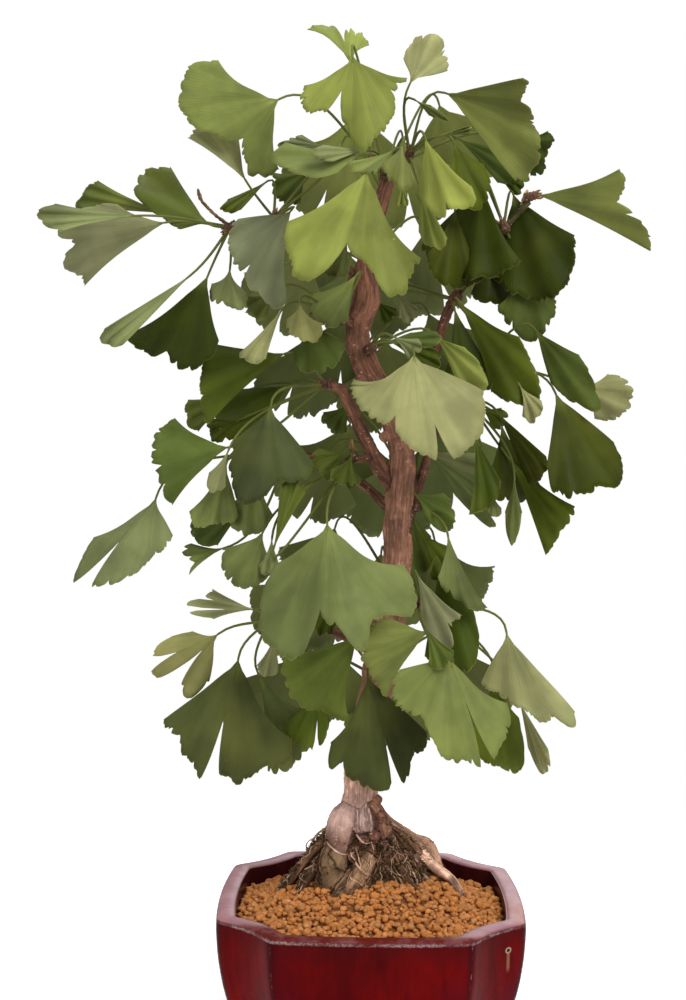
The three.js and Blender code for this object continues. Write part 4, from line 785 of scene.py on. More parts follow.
def leaf_material():
    """Green blade with forking veins and painted shade in wedges along them, paler below, with a thin dry
    rim.
    """
    n = Nodes("leaf_green")
    angle, reach, share = n.parts(n.attribute("fan", "Vector"))
    under = n.attribute("under")
    dry = n.attribute("dry")
    tone = n.attribute("tone", "Color")

    # The veins fork to stay about a millimetre apart: each doubling of the reach doubles them.
    level = n.math("LOGARITHM", n.math("MAXIMUM", reach, 1.0), 2.0)
    count = n.math("POWER", 2.0, n.math("FLOOR", level)) * 6.0
    turned = angle + (n.noise(n.place, 45, 2.0) - 0.5) * 0.05
    coarse = n.math("SINE", turned * count)
    fine = n.math("SINE", turned * count * 2.0)
    passed = n.ramp(n.math("FRACT", level), 0.35, 0.95)
    veins = (coarse * (1.0 - passed) + fine * passed) * n.ramp(share, 0.02, 0.12)

    patches = n.ramp(n.noise(n.place, 46, 3.0), 0.34, 0.66, 0.84, 1.14)
    # lighter and darker wedges along the veins: painted shade of the blade's folds
    fold_shade_place = n.joined(angle * 7.0, reach * 0.03, n.parts(n.place)[0] * 20.0)
    painted_fold_shade = n.ramp(n.noise(fold_shade_place, 0.9, 2.5, 0.45), 0.34, 0.66, 0.88, 1.08)
    color = n.shade(tone, patches * painted_fold_shade)
    yellowed = n.mix(0.5, color, linear(150, 148, 62))
    color = n.mix(n.ramp(n.noise(n.place, 24, 2.0), 0.5, 0.8, 0.0, 0.3), color, yellowed)
    color = n.shade(color, n.ramp(veins, -1.0, 1.0, 0.985, 1.015))
    color = n.mix(n.ramp(share, 0.24, 0.03) * 0.28, color, linear(140, 148, 72))
    color = n.mix(under, color, n.mix(0.3, color, linear(132, 138, 94)))
    specks = n.ramp(n.voronoi(n.place, 130), 0.07, 0.04) * n.ramp(n.noise(n.place, 90), 0.62, 0.68)
    color = n.mix(specks * 0.6, color, linear(176, 156, 96))
    edge = n.ramp(share, 0.978, 1.0) * (0.12 + dry * 0.5)
    edge = edge * n.ramp(n.noise(n.place, 160, 2.0), 0.35, 0.6, 0.3, 1.0)
    color = n.mix(edge, color, linear(168, 148, 84))

    roughness = n.ramp(n.noise(n.place, 60), 0.3, 0.7, 0.5, 0.62) + under * 0.12
    fold = n.bump(veins, 0.00005, 0.35)
    grain = n.bump(n.noise(n.place, 900, 2.0), 0.00005, 0.5, fold)
    return n.finish(color, roughness, grain, 0.09)


def bark_material():
    """Bark over the tint on its points: fibres along the wood, furrows darkened partly as painted shade, pale
    flakes that are partly painted highlight, and pale pores.
    """
    n = Nodes("bark_brown")
    tint = n.attribute("tint", "Color")
    fibre = n.attribute("fibre", "Vector")
    strands = n.noise(fibre, 0.75, 4.0, 0.62, 0.5)
    furrows = n.noise(fibre, 0.34, 3.0, 0.6, 0.9)
    rough = 1.0 - n.attribute("calm") * 0.7
    color = n.shade(tint, n.ramp(n.noise(n.place, 120, 4.0, 0.6), 0.36, 0.64, 0.72, 1.24))
    color = n.mix(rough, color, n.shade(color, n.ramp(strands, 0.38, 0.64, 0.66, 1.4)))
    # darker in the furrows: partly the bark's own darker fissures, partly painted shade
    color = n.mix(n.ramp(furrows, 0.49, 0.38, 0.0, 0.8) * rough, color, n.shade(tint, 0.34))
    # pale bark flakes, lightened partly as painted highlight
    pale_flakes_and_highlights = n.ramp(n.noise(fibre, 1.5, 4.0, 0.7), 0.56, 0.62)
    color = n.mix(pale_flakes_and_highlights * rough * 0.5, color, n.shade(tint, 2.0))
    pores = n.ramp(n.voronoi(n.scaled(n.place, (1.0, 1.0, 1.8)), 300), 0.22, 0.14)
    pores = pores * n.ramp(n.noise(n.place, 60), 0.48, 0.56)
    color = n.mix(pores * 0.6, color, linear(212, 172, 140))
    height = (furrows * 1.4 + strands) * rough + n.noise(n.place, 700, 3.0) * 0.3
    return n.finish(color, n.ramp(strands, 0.3, 0.7, 0.78, 0.92), n.bump(height, 0.0009, 1.0), 0.2)


def strand_material():
    """Fine roots and moss: the painted colour, broken up along its length."""
    n = Nodes("root_fibre")
    crumbs = n.ramp(n.noise(n.place, 420, 3.0, 0.6), 0.3, 0.7, 0.62, 1.3)
    color = n.shade(n.attribute("tint", "Color"), crumbs)
    color = n.mix(n.ramp(n.noise(n.place, 190, 2.0), 0.56, 0.7, 0.0, 0.5), color, linear(70, 52, 30))
    normal = n.bump(n.noise(n.place, 1800, 3.0), 0.0002, 0.7)
    return n.finish(color, n.ramp(n.noise(n.place, 700), 0.3, 0.7, 0.75, 0.95), normal, 0.25)


def grain_material():
    """Baked clay granules: porous, dusty, each with its own painted colour."""
    n = Nodes("baked_clay_grain")
    tint = n.attribute("tint", "Color")
    color = n.shade(tint, n.ramp(n.noise(n.place, 520, 4.0, 0.65), 0.3, 0.72, 0.78, 1.2))
    pores = n.ramp(n.voronoi(n.place, 1500), 0.2, 0.32)
    color = n.mix((1.0 - pores) * 0.5, color, linear(124, 74, 38))
    height = n.noise(n.place, 1300, 4.0, 0.7) + pores * 0.4
    roughness = n.ramp(n.noise(n.place, 300), 0.3, 0.7, 0.86, 0.97)
    return n.finish(color, roughness, n.bump(height, 0.0004, 0.9), 0.2)


def glaze_pit(n, x, y, z):
    """A burst bubble on the right front corner: its ring, its hole and the run of glaze below it."""
    fall = z - PIT[2] * MM
    beside = x - PIT[0] * MM
    away = n.math("SQRT", beside * beside + fall * fall)
    near = n.ramp(abs(y - PIT[1] * MM), 0.006, 0.004)
    ring = n.ramp(abs(away - 0.0010), 0.0006, 0.0001) * near
    hole = n.ramp(away, 0.0011, 0.0005) * near
    length = n.ramp(fall, -0.0005, -0.0016) * n.ramp(fall, -0.0105, -0.0070)
    run = n.ramp(abs(beside), 0.0010, 0.0003) * near * length
    return ring, hole, run


def glaze_material():
    """Oxblood glaze, darker below the rim and broken to brown along the edges, with a bare foot; painted
    shadow beside the corners, a painted purple reflection near them and a painted reflection on the rim's
    pale face.
    """
    n = Nodes("oxblood_glaze")
    x, y, z = n.parts(n.place)
    corner = n.attribute("corner")
    outside = n.attribute("outside")
    patch = n.noise(n.scaled(n.place, (1.0, 1.0, 0.45)), 34, 4.0, 0.6, 0.8)
    runs = n.noise(n.scaled(n.place, (1.0, 1.0, 0.12)), 260, 3.0, 0.6, 0.3)
    red = n.mix(n.ramp(patch, 0.35, 0.7), linear(68, 3, 4), linear(94, 5, 6))
    red = n.mix(n.ramp(runs, 0.45, 0.75, 0.0, 0.5), red, linear(50, 3, 6))
    wander = (n.noise(n.place, 90, 3.0) - 0.5) * 0.009
    dark_band = n.ramp(z + wander, *(height * MM for height in GLAZE_DARK_BAND))
    red = n.mix(dark_band * 0.42, red, linear(52, 10, 12))
    # a purple sheen near the corners: painted reflection
    painted_purple_reflection = n.ramp(n.noise(n.place, 22, 2.0), 0.5, 0.7) * n.ramp(corner, 0.016, 0.002)
    red = n.mix(painted_purple_reflection * 0.6, red, linear(70, 14, 30))

    # the brown lines along the rim's edge and down the corners
    speck = n.noise(n.place, 1300, 3.0, 0.7)
    speckled = n.mix(n.ramp(speck, 0.4, 0.62), linear(64, 34, 32), linear(142, 112, 108))
    jitter = (n.noise(n.place, 700, 3.0) - 0.5) * 0.0012
    rim_line = n.ramp(abs(z + jitter - RIM_LINE * MM), 0.0008, 0.0002) * outside
    rim_line = rim_line * n.ramp(n.noise(n.place, 110, 3.0), 0.34, 0.6, 0.25, 1.0)
    corner_gap = corner + jitter * 1.2
    corner_line = n.ramp(corner_gap, 0.0008, 0.0002) * outside
    corner_line = corner_line * n.ramp(n.noise(n.place, 160, 2.0), 0.36, 0.5)
    line = n.math("MAXIMUM", rim_line, corner_line * 0.8)
    shadow = n.ramp(corner_gap, 0.0030, 0.0008) * outside
    red = n.mix(shadow * 0.55, red, linear(40, 6, 9))

    # the rim's face is pale pink, a painted reflection over the glaze's red, with a stain of clay at the
    # right and the glaze's red at the front
    top = n.ramp(z, *(height * MM for height in RIM_FACE))
    rim_red = n.mix(n.ramp(n.noise(n.place, 60, 4.0), 0.3, 0.7), linear(136, 84, 92), linear(160, 112, 116))
    stain = n.ramp(abs(y - -0.026), 0.02, 0.004) * n.ramp(x, 0.056, 0.061)
    stain = stain * n.ramp(n.noise(n.place, 170, 3.0), 0.42, 0.62)
    rim_red = n.mix(stain * 0.7, rim_red, linear(158, 88, 54))
    front_rim = n.ramp(y + x * 0.12, -0.0500, -0.0570)
    front_rim = front_rim * n.ramp(n.noise(n.place, 140, 3.0), 0.3, 0.6, 0.75, 1.0)
    rim_red = n.mix(front_rim, rim_red, linear(92, 28, 24))

    inside = n.mix(n.ramp(patch, 0.3, 0.7), linear(48, 14, 16), linear(72, 24, 26))
    color = n.mix(outside, inside, red)
    color = n.mix(top, color, rim_red)
    color = n.mix(line, color, speckled)
    ring, hole, run = glaze_pit(n, x, y, z)
    color = n.mix(run * 0.8, color, linear(120, 84, 62))
    color = n.mix(ring * 0.8, color, linear(176, 146, 128))
    color = n.mix(hole * 0.8, color, linear(50, 22, 18))
    clay = n.mix(n.ramp(n.noise(n.place, 300, 4.0), 0.3, 0.7), linear(112, 68, 50), linear(146, 94, 68))
    bare = n.ramp(z + wander, *(height * MM for height in BARE_FOOT))
    color = n.mix(bare, color, clay)

    roughness = n.ramp(n.noise(n.place, 210, 3.0), 0.3, 0.7, 0.16, 0.28)
    roughness = n.math("ADD", roughness, n.math("MAXIMUM", top, line) * 0.2, clamp=True)
    roughness = n.math("ADD", roughness, bare * 0.6, clamp=True)
    ripple = n.bump(n.noise(n.scaled(n.place, (1.0, 1.0, 0.5)), 75, 2.0), 0.0008, 0.35)
    dents = n.bump(speck * (line + 0.06) + ring * 2.0, 0.0003, 0.8, ripple)
    pale_rim_top = n.math("SUBTRACT", top, front_rim, clamp=True)
    shine = 0.02 + n.math("MAXIMUM", pale_rim_top, line) * 0.45
    return n.finish(color, roughness, dents, shine)


def net_material():
    """Moulded black plastic net, dusted with clay."""
    n = Nodes("net_plastic")
    dust = n.ramp(n.noise(n.place, 420, 4.0, 0.65), 0.5, 0.75)
    color = n.mix(dust, linear(34, 34, 36), linear(120, 84, 60))
    normal = n.bump(n.noise(n.place, 2600, 2.0), 0.0001, 0.6)
    return n.finish(color, n.ramp(dust, 0.0, 1.0, 0.5, 0.9), normal, 0.4)


def floor_material():
    """Pale matt floor with a faint glow."""
    n = Nodes("pale_floor")
    color = n.mix(n.ramp(n.noise(n.place, 3.0, 3.0), 0.3, 0.7), linear(246, 246, 245), linear(250, 250, 250))
    normal = n.bump(n.noise(n.place, 900, 2.0), 0.0001, 0.3)
    n.shader.inputs["Emission Color"].default_value = (1, 1, 1, 1)
    n.shader.inputs["Emission Strength"].default_value = FLOOR_GLOW
    return n.finish(color, n.ramp(n.noise(n.place, 14), 0.3, 0.7, 0.8, 0.9), normal, 0.1)


# ---------------------------------------------------------------- leaves
def slid(x, z, y):
    """The place of an elevation point at depth y. Takes numbers or arrays."""
    scale = 1 + y / -VIEW[1]
    return np.stack([VIEW[0] + (x - VIEW[0]) * scale, y + 0 * x, VIEW[2] + (z - VIEW[2]) * scale], axis=-1)


def rim_radius(leaf, s):
    """The rim's radius at s, from -1 at one side of the fan to 1 at the other, without its teeth."""
    radii = np.array(leaf["radii"], float)
    last = len(radii) - 1
    place = (np.clip(s, -1, 1) + 1) / 2 * last
    i = np.minimum(place.astype(int), last - 1)
    before = radii[np.maximum(i - 1, 0)]
    after = radii[np.minimum(i + 2, last)]
    radius = between(before, radii[i], radii[i + 1], after, place - i)
    for middle, apex, width in leaf["notches"]:
        away = np.minimum(np.abs(s - middle) / width, 1)
        radius = radius * (apex + (1 - apex) * (1 - (1 - away) ** NOTCH_ROUND))
    return radius


def rim_teeth(leaf, s, chance):
    """Lobes, lobes on them and teeth along the rim, uneven in width and depth, some parted by slits."""
    length = math.radians(leaf["spread"]) * max(leaf["radii"])
    offset = np.zeros_like(s)
    for width, depth in RIM_CUTS:
        count = max(2, round(length / width))
        cuts = np.cumsum([chance.uniform(0.35, 1.65) for _ in range(count)])
        cuts = -1 + 2 * np.concatenate([[0], cuts]) / cuts[-1]
        i = np.clip(np.searchsorted(cuts, s, side="right") - 1, 0, count - 1)
        f = (s - cuts[i]) / (cuts[i + 1] - cuts[i])
        peak = np.array([chance.uniform(0.25, 0.75) for _ in range(count)])[i]
        depths = np.array([depth * chance.uniform(0.1, 1.7) for _ in range(count)])[i]
        risen = np.where(f < peak, f / peak, (1 - f) / (1 - peak))
        offset += depths * (0.4 - (1 - risen) ** 2.2)
        for place in cuts[1:-1]:
            if width > TOOTH_LIMIT and chance.random() < SLIT_CHANCE:
                deep = chance.uniform(0.3, 1.0) * SLIT_DEPTH
                narrow = chance.uniform(0.35, 0.8)
                offset -= deep * np.clip(1 - np.abs(s - place) * length / 2 / narrow, 0, 1)
    calm = np.ones_like(s)
    for middle, _, notch in leaf["notches"]:
        calm = np.minimum(calm, np.clip(np.abs(s - middle) / notch, 0.1, 1))
    return offset * calm * np.clip((1 - np.abs(s)) / 0.04, 0, 1)


def lobe_turns(leaf, s, share):
    """How far the parts of the blade on either side of each notch swing out of line."""
    if not leaf["notches"]:
        return 0 * share
    chance = random.Random(leaf["number"] + 900)
    apex = min(row[1] for row in leaf["notches"]) * 0.9
    swings = [chance.uniform(-1, 1)]
    for _ in leaf["notches"]:
        swings.append(-math.copysign(chance.uniform(0.4, 1), swings[-1]))
    part = sum((s > middle).astype(int) for middle, _, _ in leaf["notches"])
    return LOBE_TURN * np.array(swings)[part] * np.maximum(share - apex, 0)


def fan_angle(leaf, s, t, reach):
    """The angle from the fan's middle line: the fan draws in at its neck, and its sides bow."""
    angle = math.radians(leaf["spread"] / 2) * s * (1 - BLADE_NECK * (1 - t) ** 2)
    chance = random.Random(leaf["number"] + 1700)
    bend = np.where(s < 0, -chance.uniform(*SIDE_BEND), chance.uniform(*SIDE_BEND))
    angle = angle + math.radians(leaf["spread"]) * bend * np.abs(s) ** 3 * np.sin(math.pi * t)
    return angle * (1 - 0.6 * np.exp(-((reach / NECK_REACH) ** 2)))


def ripples(leaf, s, angle, share):
    """The blade's slow wave, the pleats along its veins and the flutter of its rim."""
    number = leaf["number"]
    wave = BLADE_WAVE * share**2 * np.sin(2.6 * math.pi * s + number)
    pleats = PLEAT_DEPTH * share**1.3 * np.sin(angle * PLEATS + 1.7 * number)
    soft = min(1.0, max(leaf["radii"]) / 30) * (1.0 if leaf["front"] else 0.5)
    rim_waves = np.sin(angle * 6.3 + 2.1 * number) + 0.45 * np.sin(angle * 13.1 + number)
    return wave + pleats + FLUTTER * soft * share**4 * rim_waves


def blade_middle(leaf, s, t, rim):
    """Middle points of the blade for arrays s and t, with each point's angle and reach."""
    x, z, y = leaf["at"]
    tilt, roll, cup, curl = leaf["pose"]
    heading = math.radians(leaf["heading"])
    largest = max(leaf["radii"])
    reach = rim * t
    angle = fan_angle(leaf, s, t, reach)
    u = reach * np.cos(angle)
    v = reach * np.sin(angle)
    share = reach / largest
    aside = v / largest
    creased = np.sqrt(aside**2 + 0.003) - math.sqrt(0.003)
    bent = CUP_GAIN * cup * ((1 - FOLD_SHARE) * aside**2 + FOLD_SHARE * creased)
    nearer = (math.tan(math.radians(tilt)) * u + math.tan(math.radians(roll)) * v + bent
              + curl * (u / largest) ** 2 + ripples(leaf, s, angle, share) + lobe_turns(leaf, s, share))
    return slid(x + u * math.cos(heading) - v * math.sin(heading),
                z + u * math.sin(heading) + v * math.cos(heading), y - nearer), angle, reach


def blade_faces(rows, columns, turned):
    """Both faces of a blade of rows times columns points, and the thin wall around them."""
    count = rows * columns
    faces = []
    for start, flip in ((0, not turned), (count, turned)):
        for row in range(rows - 1):
            for column in range(columns - 1):
                a = start + row * columns + column
                face = [a, a + 1, a + 1 + columns, a + columns]
                faces.append(face[::-1] if flip else face)
    border = list(range(columns))
    border += [row * columns + columns - 1 for row in range(1, rows)]
    border += [(rows - 1) * columns + column for column in range(columns - 2, -1, -1)]
    border += [row * columns for row in range(rows - 2, 0, -1)]
    for a, b in zip(border, border[1:] + border[:1]):
        wall = [a, b, b + count, a + count]
        faces.append(wall[::-1] if turned else wall)
    return faces


def painted_blade_shade(leaf, across, along, chance):
    """Painted shade over the blade: one half lighter than the other, as the lit and shaded sides of a fold,
    and a slow painted fade.
    """
    seam = leaf["notches"][0][0] if leaf["notches"] else chance.uniform(-0.15, 0.15)
    split = chance.choice((-1, 1)) * chance.uniform(0.04, HALF_CONTRAST)
    split = PAINTED_HALF_SHADE.get(leaf.get("id"), split)
    fade = chance.uniform(-0.1, 0.1)
    return 1 + split * np.tanh((across - seam) / (0.05 + 0.1 * (1 - along))) + fade * (along - 0.5)


def add_blade(skin, leaf):
    chance = random.Random(leaf["number"] * 17 + 3)
    length = math.radians(leaf["spread"]) * max(leaf["radii"])
    columns = int(min(max(length / COLUMN_WIDTH, 14), 150)) + 1
    rows = int(min(max(max(leaf["radii"]) / ROW_HEIGHT, 6), 14)) + 1
    s = np.linspace(-1, 1, columns)
    for middle, _, _ in leaf["notches"]:
        s[np.argmin(np.abs(s - middle))] = middle
    t = BLADE_FOOT + (1 - BLADE_FOOT) * (np.arange(rows) / (rows - 1)) ** 0.85
    across, along = np.meshgrid(s, t)
    rim = rim_radius(leaf, s)[None, :] + rim_teeth(leaf, s, chance)[None, :] * along**3
    middle, angle, reach = blade_middle(leaf, across, along, rim)
    normal = np.cross(np.gradient(middle, axis=0), np.gradient(middle, axis=1))
    normal /= np.linalg.norm(normal, axis=2)[:, :, None] + 1e-9
    if normal[:, :, 1].mean() > 0:
        normal = -normal
    thick = BLADE_THICK / 2 * (1 + 0.9 * (1 - along) ** 6) * (1 - 0.45 * along**8)
    near = middle + normal * thick[:, :, None]
    far = middle - normal * thick[:, :, None]
    first = middle[1, columns // 2] - middle[0, columns // 2]
    turned = np.cross(first, middle[0, -1] - middle[0, 0])[1] > 0
    fan = np.stack([angle, reach, along], axis=2).reshape(-1, 3)
    under = np.repeat([0.0, 1.0] if leaf["front"] else [1.0, 0.0], rows * columns)
    # the tone carries the painted shade of the blade's halves and its fade
    light = np.tile(painted_blade_shade(leaf, across, along, chance).ravel(), 2)[:, None]
    tone = np.hstack([light * leaf["color"][:3], np.ones_like(light)])
    skin.add(np.concatenate([near.reshape(-1, 3), far.reshape(-1, 3)]), blade_faces(rows, columns, turned),
             fan=np.concatenate([fan, fan]), under=under[:, None], tone=tone, dry=leaf["dry"])


def stalk_path(leaf, spur):
    """The stalk's curve from the spur to the blade's foot, in elevation."""
    heading = math.radians(leaf["heading"])
    foot = np.array(leaf["at"], float)
    root = np.array(spur, float)
    tilt = math.radians(leaf["pose"][0])
    out = unit(np.array([math.cos(heading), math.sin(heading), -math.tan(tilt)]))
    length = np.linalg.norm(foot - root)
    leave = foot - out * 0.4 * length
    arrive = root + (foot - root) * 0.2 + np.array([0, 0, 0.125 * length])
    steps = max(6, int(length / 3))
    f = np.linspace(1, 0, steps + 1)[:, None]
    return (1 - f) ** 3 * foot + 3 * (1 - f) ** 2 * f * leave + 3 * (1 - f) * f**2 * arrive + f**3 * root


def add_stalk(skin, leaf, spur):
    """The stalk, which runs a little way up the blade."""
    curve = slid(*stalk_path(leaf, spur).T)
    nerve = np.linspace(0.0, 0.16, 4)[1:]
    up_blade = blade_middle(leaf, np.zeros(3), nerve, rim_radius(leaf, np.zeros(3)))[0]
    points = np.concatenate([curve, up_blade])
    swell = np.concatenate([np.linspace(1.45, 1.0, len(curve)), [0.8, 0.5, 0.25]])
    f = np.repeat(np.linspace(0, 1, len(points)), STALK_SIDES)[:, None]
    green = tint_of(STALK_GREEN, TONE_GAIN)
    tone = toward(green, leaf["color"], np.clip(f - 0.75, 0, 1) * 3)
    tone = toward(tone, tint_of(STALK_BROWN, TONE_GAIN), np.clip(0.12 - f, 0, 1) * 6)
    skin.tube(np.column_stack([points, swell * STALK_RADIUS]), STALK_SIDES, fan=[0.0, 0.0, 0.5],
              under=[0.0], tone=tone, dry=[0.0])


def back_leaves(spur, count, first, last, reach, rise, seed):
    """A fan of leaves behind the trunk, by rule."""
    draw = draws(seed)
    rows = []
    for i in range(count):
        bearing = first + (last - first) * (i + 0.5) / count + 8 * (draw() - 0.5)
        layer = BACK_LAYER * (i % 2)
        away = reach * (0.75 + 0.4 * draw()) + 0.6 * layer
        size = 34 + 10 * draw()
        up = rise + 8 * (draw() - 0.5) + layer
        roll = bearing * 0.8
        spread = math.radians(100 + 20 * draw())
        shown = math.atan(math.tan(spread / 2) * math.cos(math.radians(roll)))
        sine = math.sin(math.radians(bearing))
        cosine = math.cos(math.radians(bearing))
        tilt = -(18 + 20 * draw()) * cosine
        rows.append({
            "at": [spur[0] + away * sine, spur[1] + up, spur[2] + 0.8 * away * cosine],
            "heading": -90 + bearing * 0.45,
            "spread": math.degrees(shown) * 2,
            "radii": [share * size for share in (0.78, 0.95, 1, 0.93, 0.8)],
            "notches": [[0.15 * (draw() - 0.5), 0.6, 0.1]],
            "pose": [tilt, roll, -4, -4],
            # painted light and shade by height: the crown's back leaves lighter, the low ones darker
            "tone": "Y" if spur[1] > 370 else "L" if spur[1] > 325 else "D",
            "front": False,
        })
    return rows


def leaf_color(leaf):
    """The leaf's green: its tone, painted light and shade included, with a little chance in hue and
    lightness.
    """
    chance = random.Random(leaf["number"] + 400)
    red, green, blue = TONES[leaf["tone"]]
    light = chance.uniform(0.94, 1.07)
    warm = chance.uniform(-2.5, 2.5)
    return tint_of((min(red * light + warm, 255), green * light, max(blue * light - warm, 0)), TONE_GAIN)


def list_sprays():
    """Name, spur and leaves of every spray, with a running number in each leaf."""
    keys = ("id", "at", "heading", "spread", "radii", "notches", "pose", "tone")
    sprays = [(name, spur, [dict(zip(keys, row), front=True) for row in rows])
              for name, (spur, *rows) in SPRAYS.items()]
    sprays += [(name, spur, back_leaves(spur, *rule)) for name, spur, *rule in BACK_SPRAYS]
    number = 0
    for _, _, leaves in sprays:
        for leaf in leaves:
            leaf["number"] = number
            leaf["dry"] = [1.0 if leaf["tone"] == "O" else random.Random(number).uniform(0, 0.6)]
            leaf["color"] = leaf_color(leaf)
            number += 1
    return sprays


def make_sprays(sprays, material):
    for name, spur, leaves in sprays:
        skin = Skin()
        for leaf in leaves:
            add_blade(skin, leaf)
            add_stalk(skin, leaf, spur)
        piece = skin.make(f"spray_{name}", material)
        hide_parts(f"leaves_{name}")
        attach(piece, "root")


# ---------------------------------------------------------------- short shoots
def shoot_direction(spur, leaves):
    """The middle direction in which the stalks leave the spur."""
    ahead = np.zeros(3)
    for leaf in leaves:
        curve = slid(*stalk_path(leaf, spur)[:3].T)
        ahead += unit(curve[2] - curve[0])
    return unit(ahead)


def add_shoot(skin, base, ahead, chance):
    """The stubby shoot, with a ridge where each year's growth ended."""
    steps = 15
    rings = []
    for i in range(steps):
        f = i / (steps - 1)
        ridge = 0.3 if i % 3 == 1 else 0.0
        radius = (2.2 - 0.4 * f + ridge) * (1 if f < 0.9 else 0.7)
        rings.append([*(base + ahead * (-3.2 + 6.2 * f)), radius * chance.uniform(0.96, 1.05)])
    sides = 12
    points = tube_points(np.array(rings), sides)
    points = points + 0.18 * noise_at(points, 1.4)[:, None] * ahead
    skin.add(points, loft_faces(steps, sides), tint=tint_of(SHOOT_BROWN, 0.9))


def add_bud_scale(skin, base, ahead, chance):
    side = np.array([chance.gauss(0, 1) for _ in range(3)])
    side = unit(side - ahead * side.dot(ahead))
    root = base + ahead * 2.2 + side * 1.2
    tip = root + ahead * chance.uniform(1.8, 3.0) + side * chance.uniform(0.1, 0.8)
    path = smooth_path([[*root, 0.8], [*((root + tip) / 2 + side * 0.3), 0.65], [*tip, 0.15]], 0.8)
    skin.tube(path, 6, tint=tint_of(SCALE_BROWN if chance.random() < 0.6 else SCALE_GREEN))


def make_short_shoots(sprays, material):
    """The stubby ringed shoot at each spur, with bud scales among the stalks."""
    skin = Skin()
    chance = random.Random(31)
    for _, spur, leaves in sprays:
        base = slid(*np.array(spur, float))
        ahead = shoot_direction(spur, leaves)
        add_shoot(skin, base, ahead, chance)
        for _ in range(BUD_SCALES):
            add_bud_scale(skin, base, ahead, chance)
    piece = skin.make("short_shoots", material)
    points = np.concatenate(skin.points)
    paint(piece, "fibre", points * [1.0, 1.0, 0.4])
    paint(piece, "calm", np.zeros(len(points)))
    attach(piece, "root")


# ---------------------------------------------------------------- wood
def lump_place(angle, reach, z):
    return [ROOT_LUMP_X + reach * math.cos(angle), ROOT_LUMP_Y + ROOT_LUMP_DEPTH * reach * math.sin(angle), z]


def root_lump():
    """The lump of old soil and fine roots between the thick roots."""
    sides = 48
    heights = np.linspace(ROOT_LUMP[0][0], ROOT_LUMP[-1][0], 24)
    radii = np.interp(heights, [z for z, _ in ROOT_LUMP], [r for _, r in ROOT_LUMP])
    angle = np.arange(sides) / sides * 2 * math.pi
    points = []
    for z, radius in zip(heights, radii):
        reach = radius * (1 + 0.09 * np.sin(3 * angle + 1) + 0.08 * np.sin(5 * angle + z / 4))
        points += [lump_place(a, r, z) for a, r in zip(angle, reach)]
    return points, loft_faces(len(heights), sides)


def fine_roots():
    """The fine roots that run down over the lump, as in the model's solids."""
    draw = draws(5)
    paths = []
    for i in range(FINE_ROOTS):
        turn = draw() - 0.5
        bend = draw() - 0.5
        path = []
        for step, (z, radius) in enumerate(ROOT_LUMP[1::2][::-1]):
            angle = (i + turn + bend * step * 0.3) / FINE_ROOTS * 2 * math.pi
            reach = radius * (1.02 + 0.12 * draw()) + 1
            path.append([*lump_place(angle, reach, z), 2 - 0.4 * step])
        paths.append(path)
    return paths


def wood_paths():
    """Every path of the wood with its name and kind, smoothed."""
    paths = [(name, "wood", smooth_path(path, 1.5)) for name, path in WOOD.items()]
    paths += [(name, "root", smooth_path(path, 1.5)) for name, path in ROOTS.items()]
    paths += [(name, "twig", smooth_path(path, 1.0)) for name, path in TWIGS.items()]
    paths += [(f"fine {i}", "fine", smooth_path(path, 1.5)) for i, path in enumerate(fine_roots())]
    for x, y, z, radius in ROOT_KNOBS:
        knob = [[x - radius, y, z, 0.3], [x, y - 0.3, z + 0.4, radius], [x + radius, y, z, 0.3]]
        paths.append(("knob", "knob", smooth_path(knob, 0.6)))
    return paths


def wood_finder(paths):
    """Finds the path sample whose surface is nearest to a point: path, number, place and direction."""
    samples = []
    for index, (_, _, path) in enumerate(paths):
        along = np.gradient(path[:, :3], axis=0)
        along /= np.linalg.norm(along, axis=1)[:, None]
        samples += [(index, place, path[place], along[place]) for place in range(len(path))]
    tree = kdtree.KDTree(len(samples))
    for number, (_, _, point, _) in enumerate(samples):
        tree.insert(point[:3], number)
    tree.balance()

    def nearest(point):
        near = tree.find_n(point, 7)
        return samples[min(near, key=lambda hit: hit[2] - samples[hit[1]][2][3])[1]]

    return nearest


def fibre_places(beside, near, paths):
    """Coordinates that run with the wood: a path's own across it, and its shortened length along it."""
    reaches = []
    for _, _, path in paths:
        steps = np.linalg.norm(np.diff(path[:, :3], axis=0), axis=1)
        reaches.append(np.concatenate([[0], np.cumsum(steps)]))
    along = np.array([direction for _, _, _, direction in near])
    ahead = np.einsum("ij,ij->i", beside, along)
    fibre = beside - along * ahead[:, None] + 23.7 * np.array([[index, 0, 0] for index, _, _, _ in near])
    fibre[:, 2] += FIBRE_STRETCH * (ahead + np.array([reaches[index][place] for index, place, _, _ in near]))
    return fibre


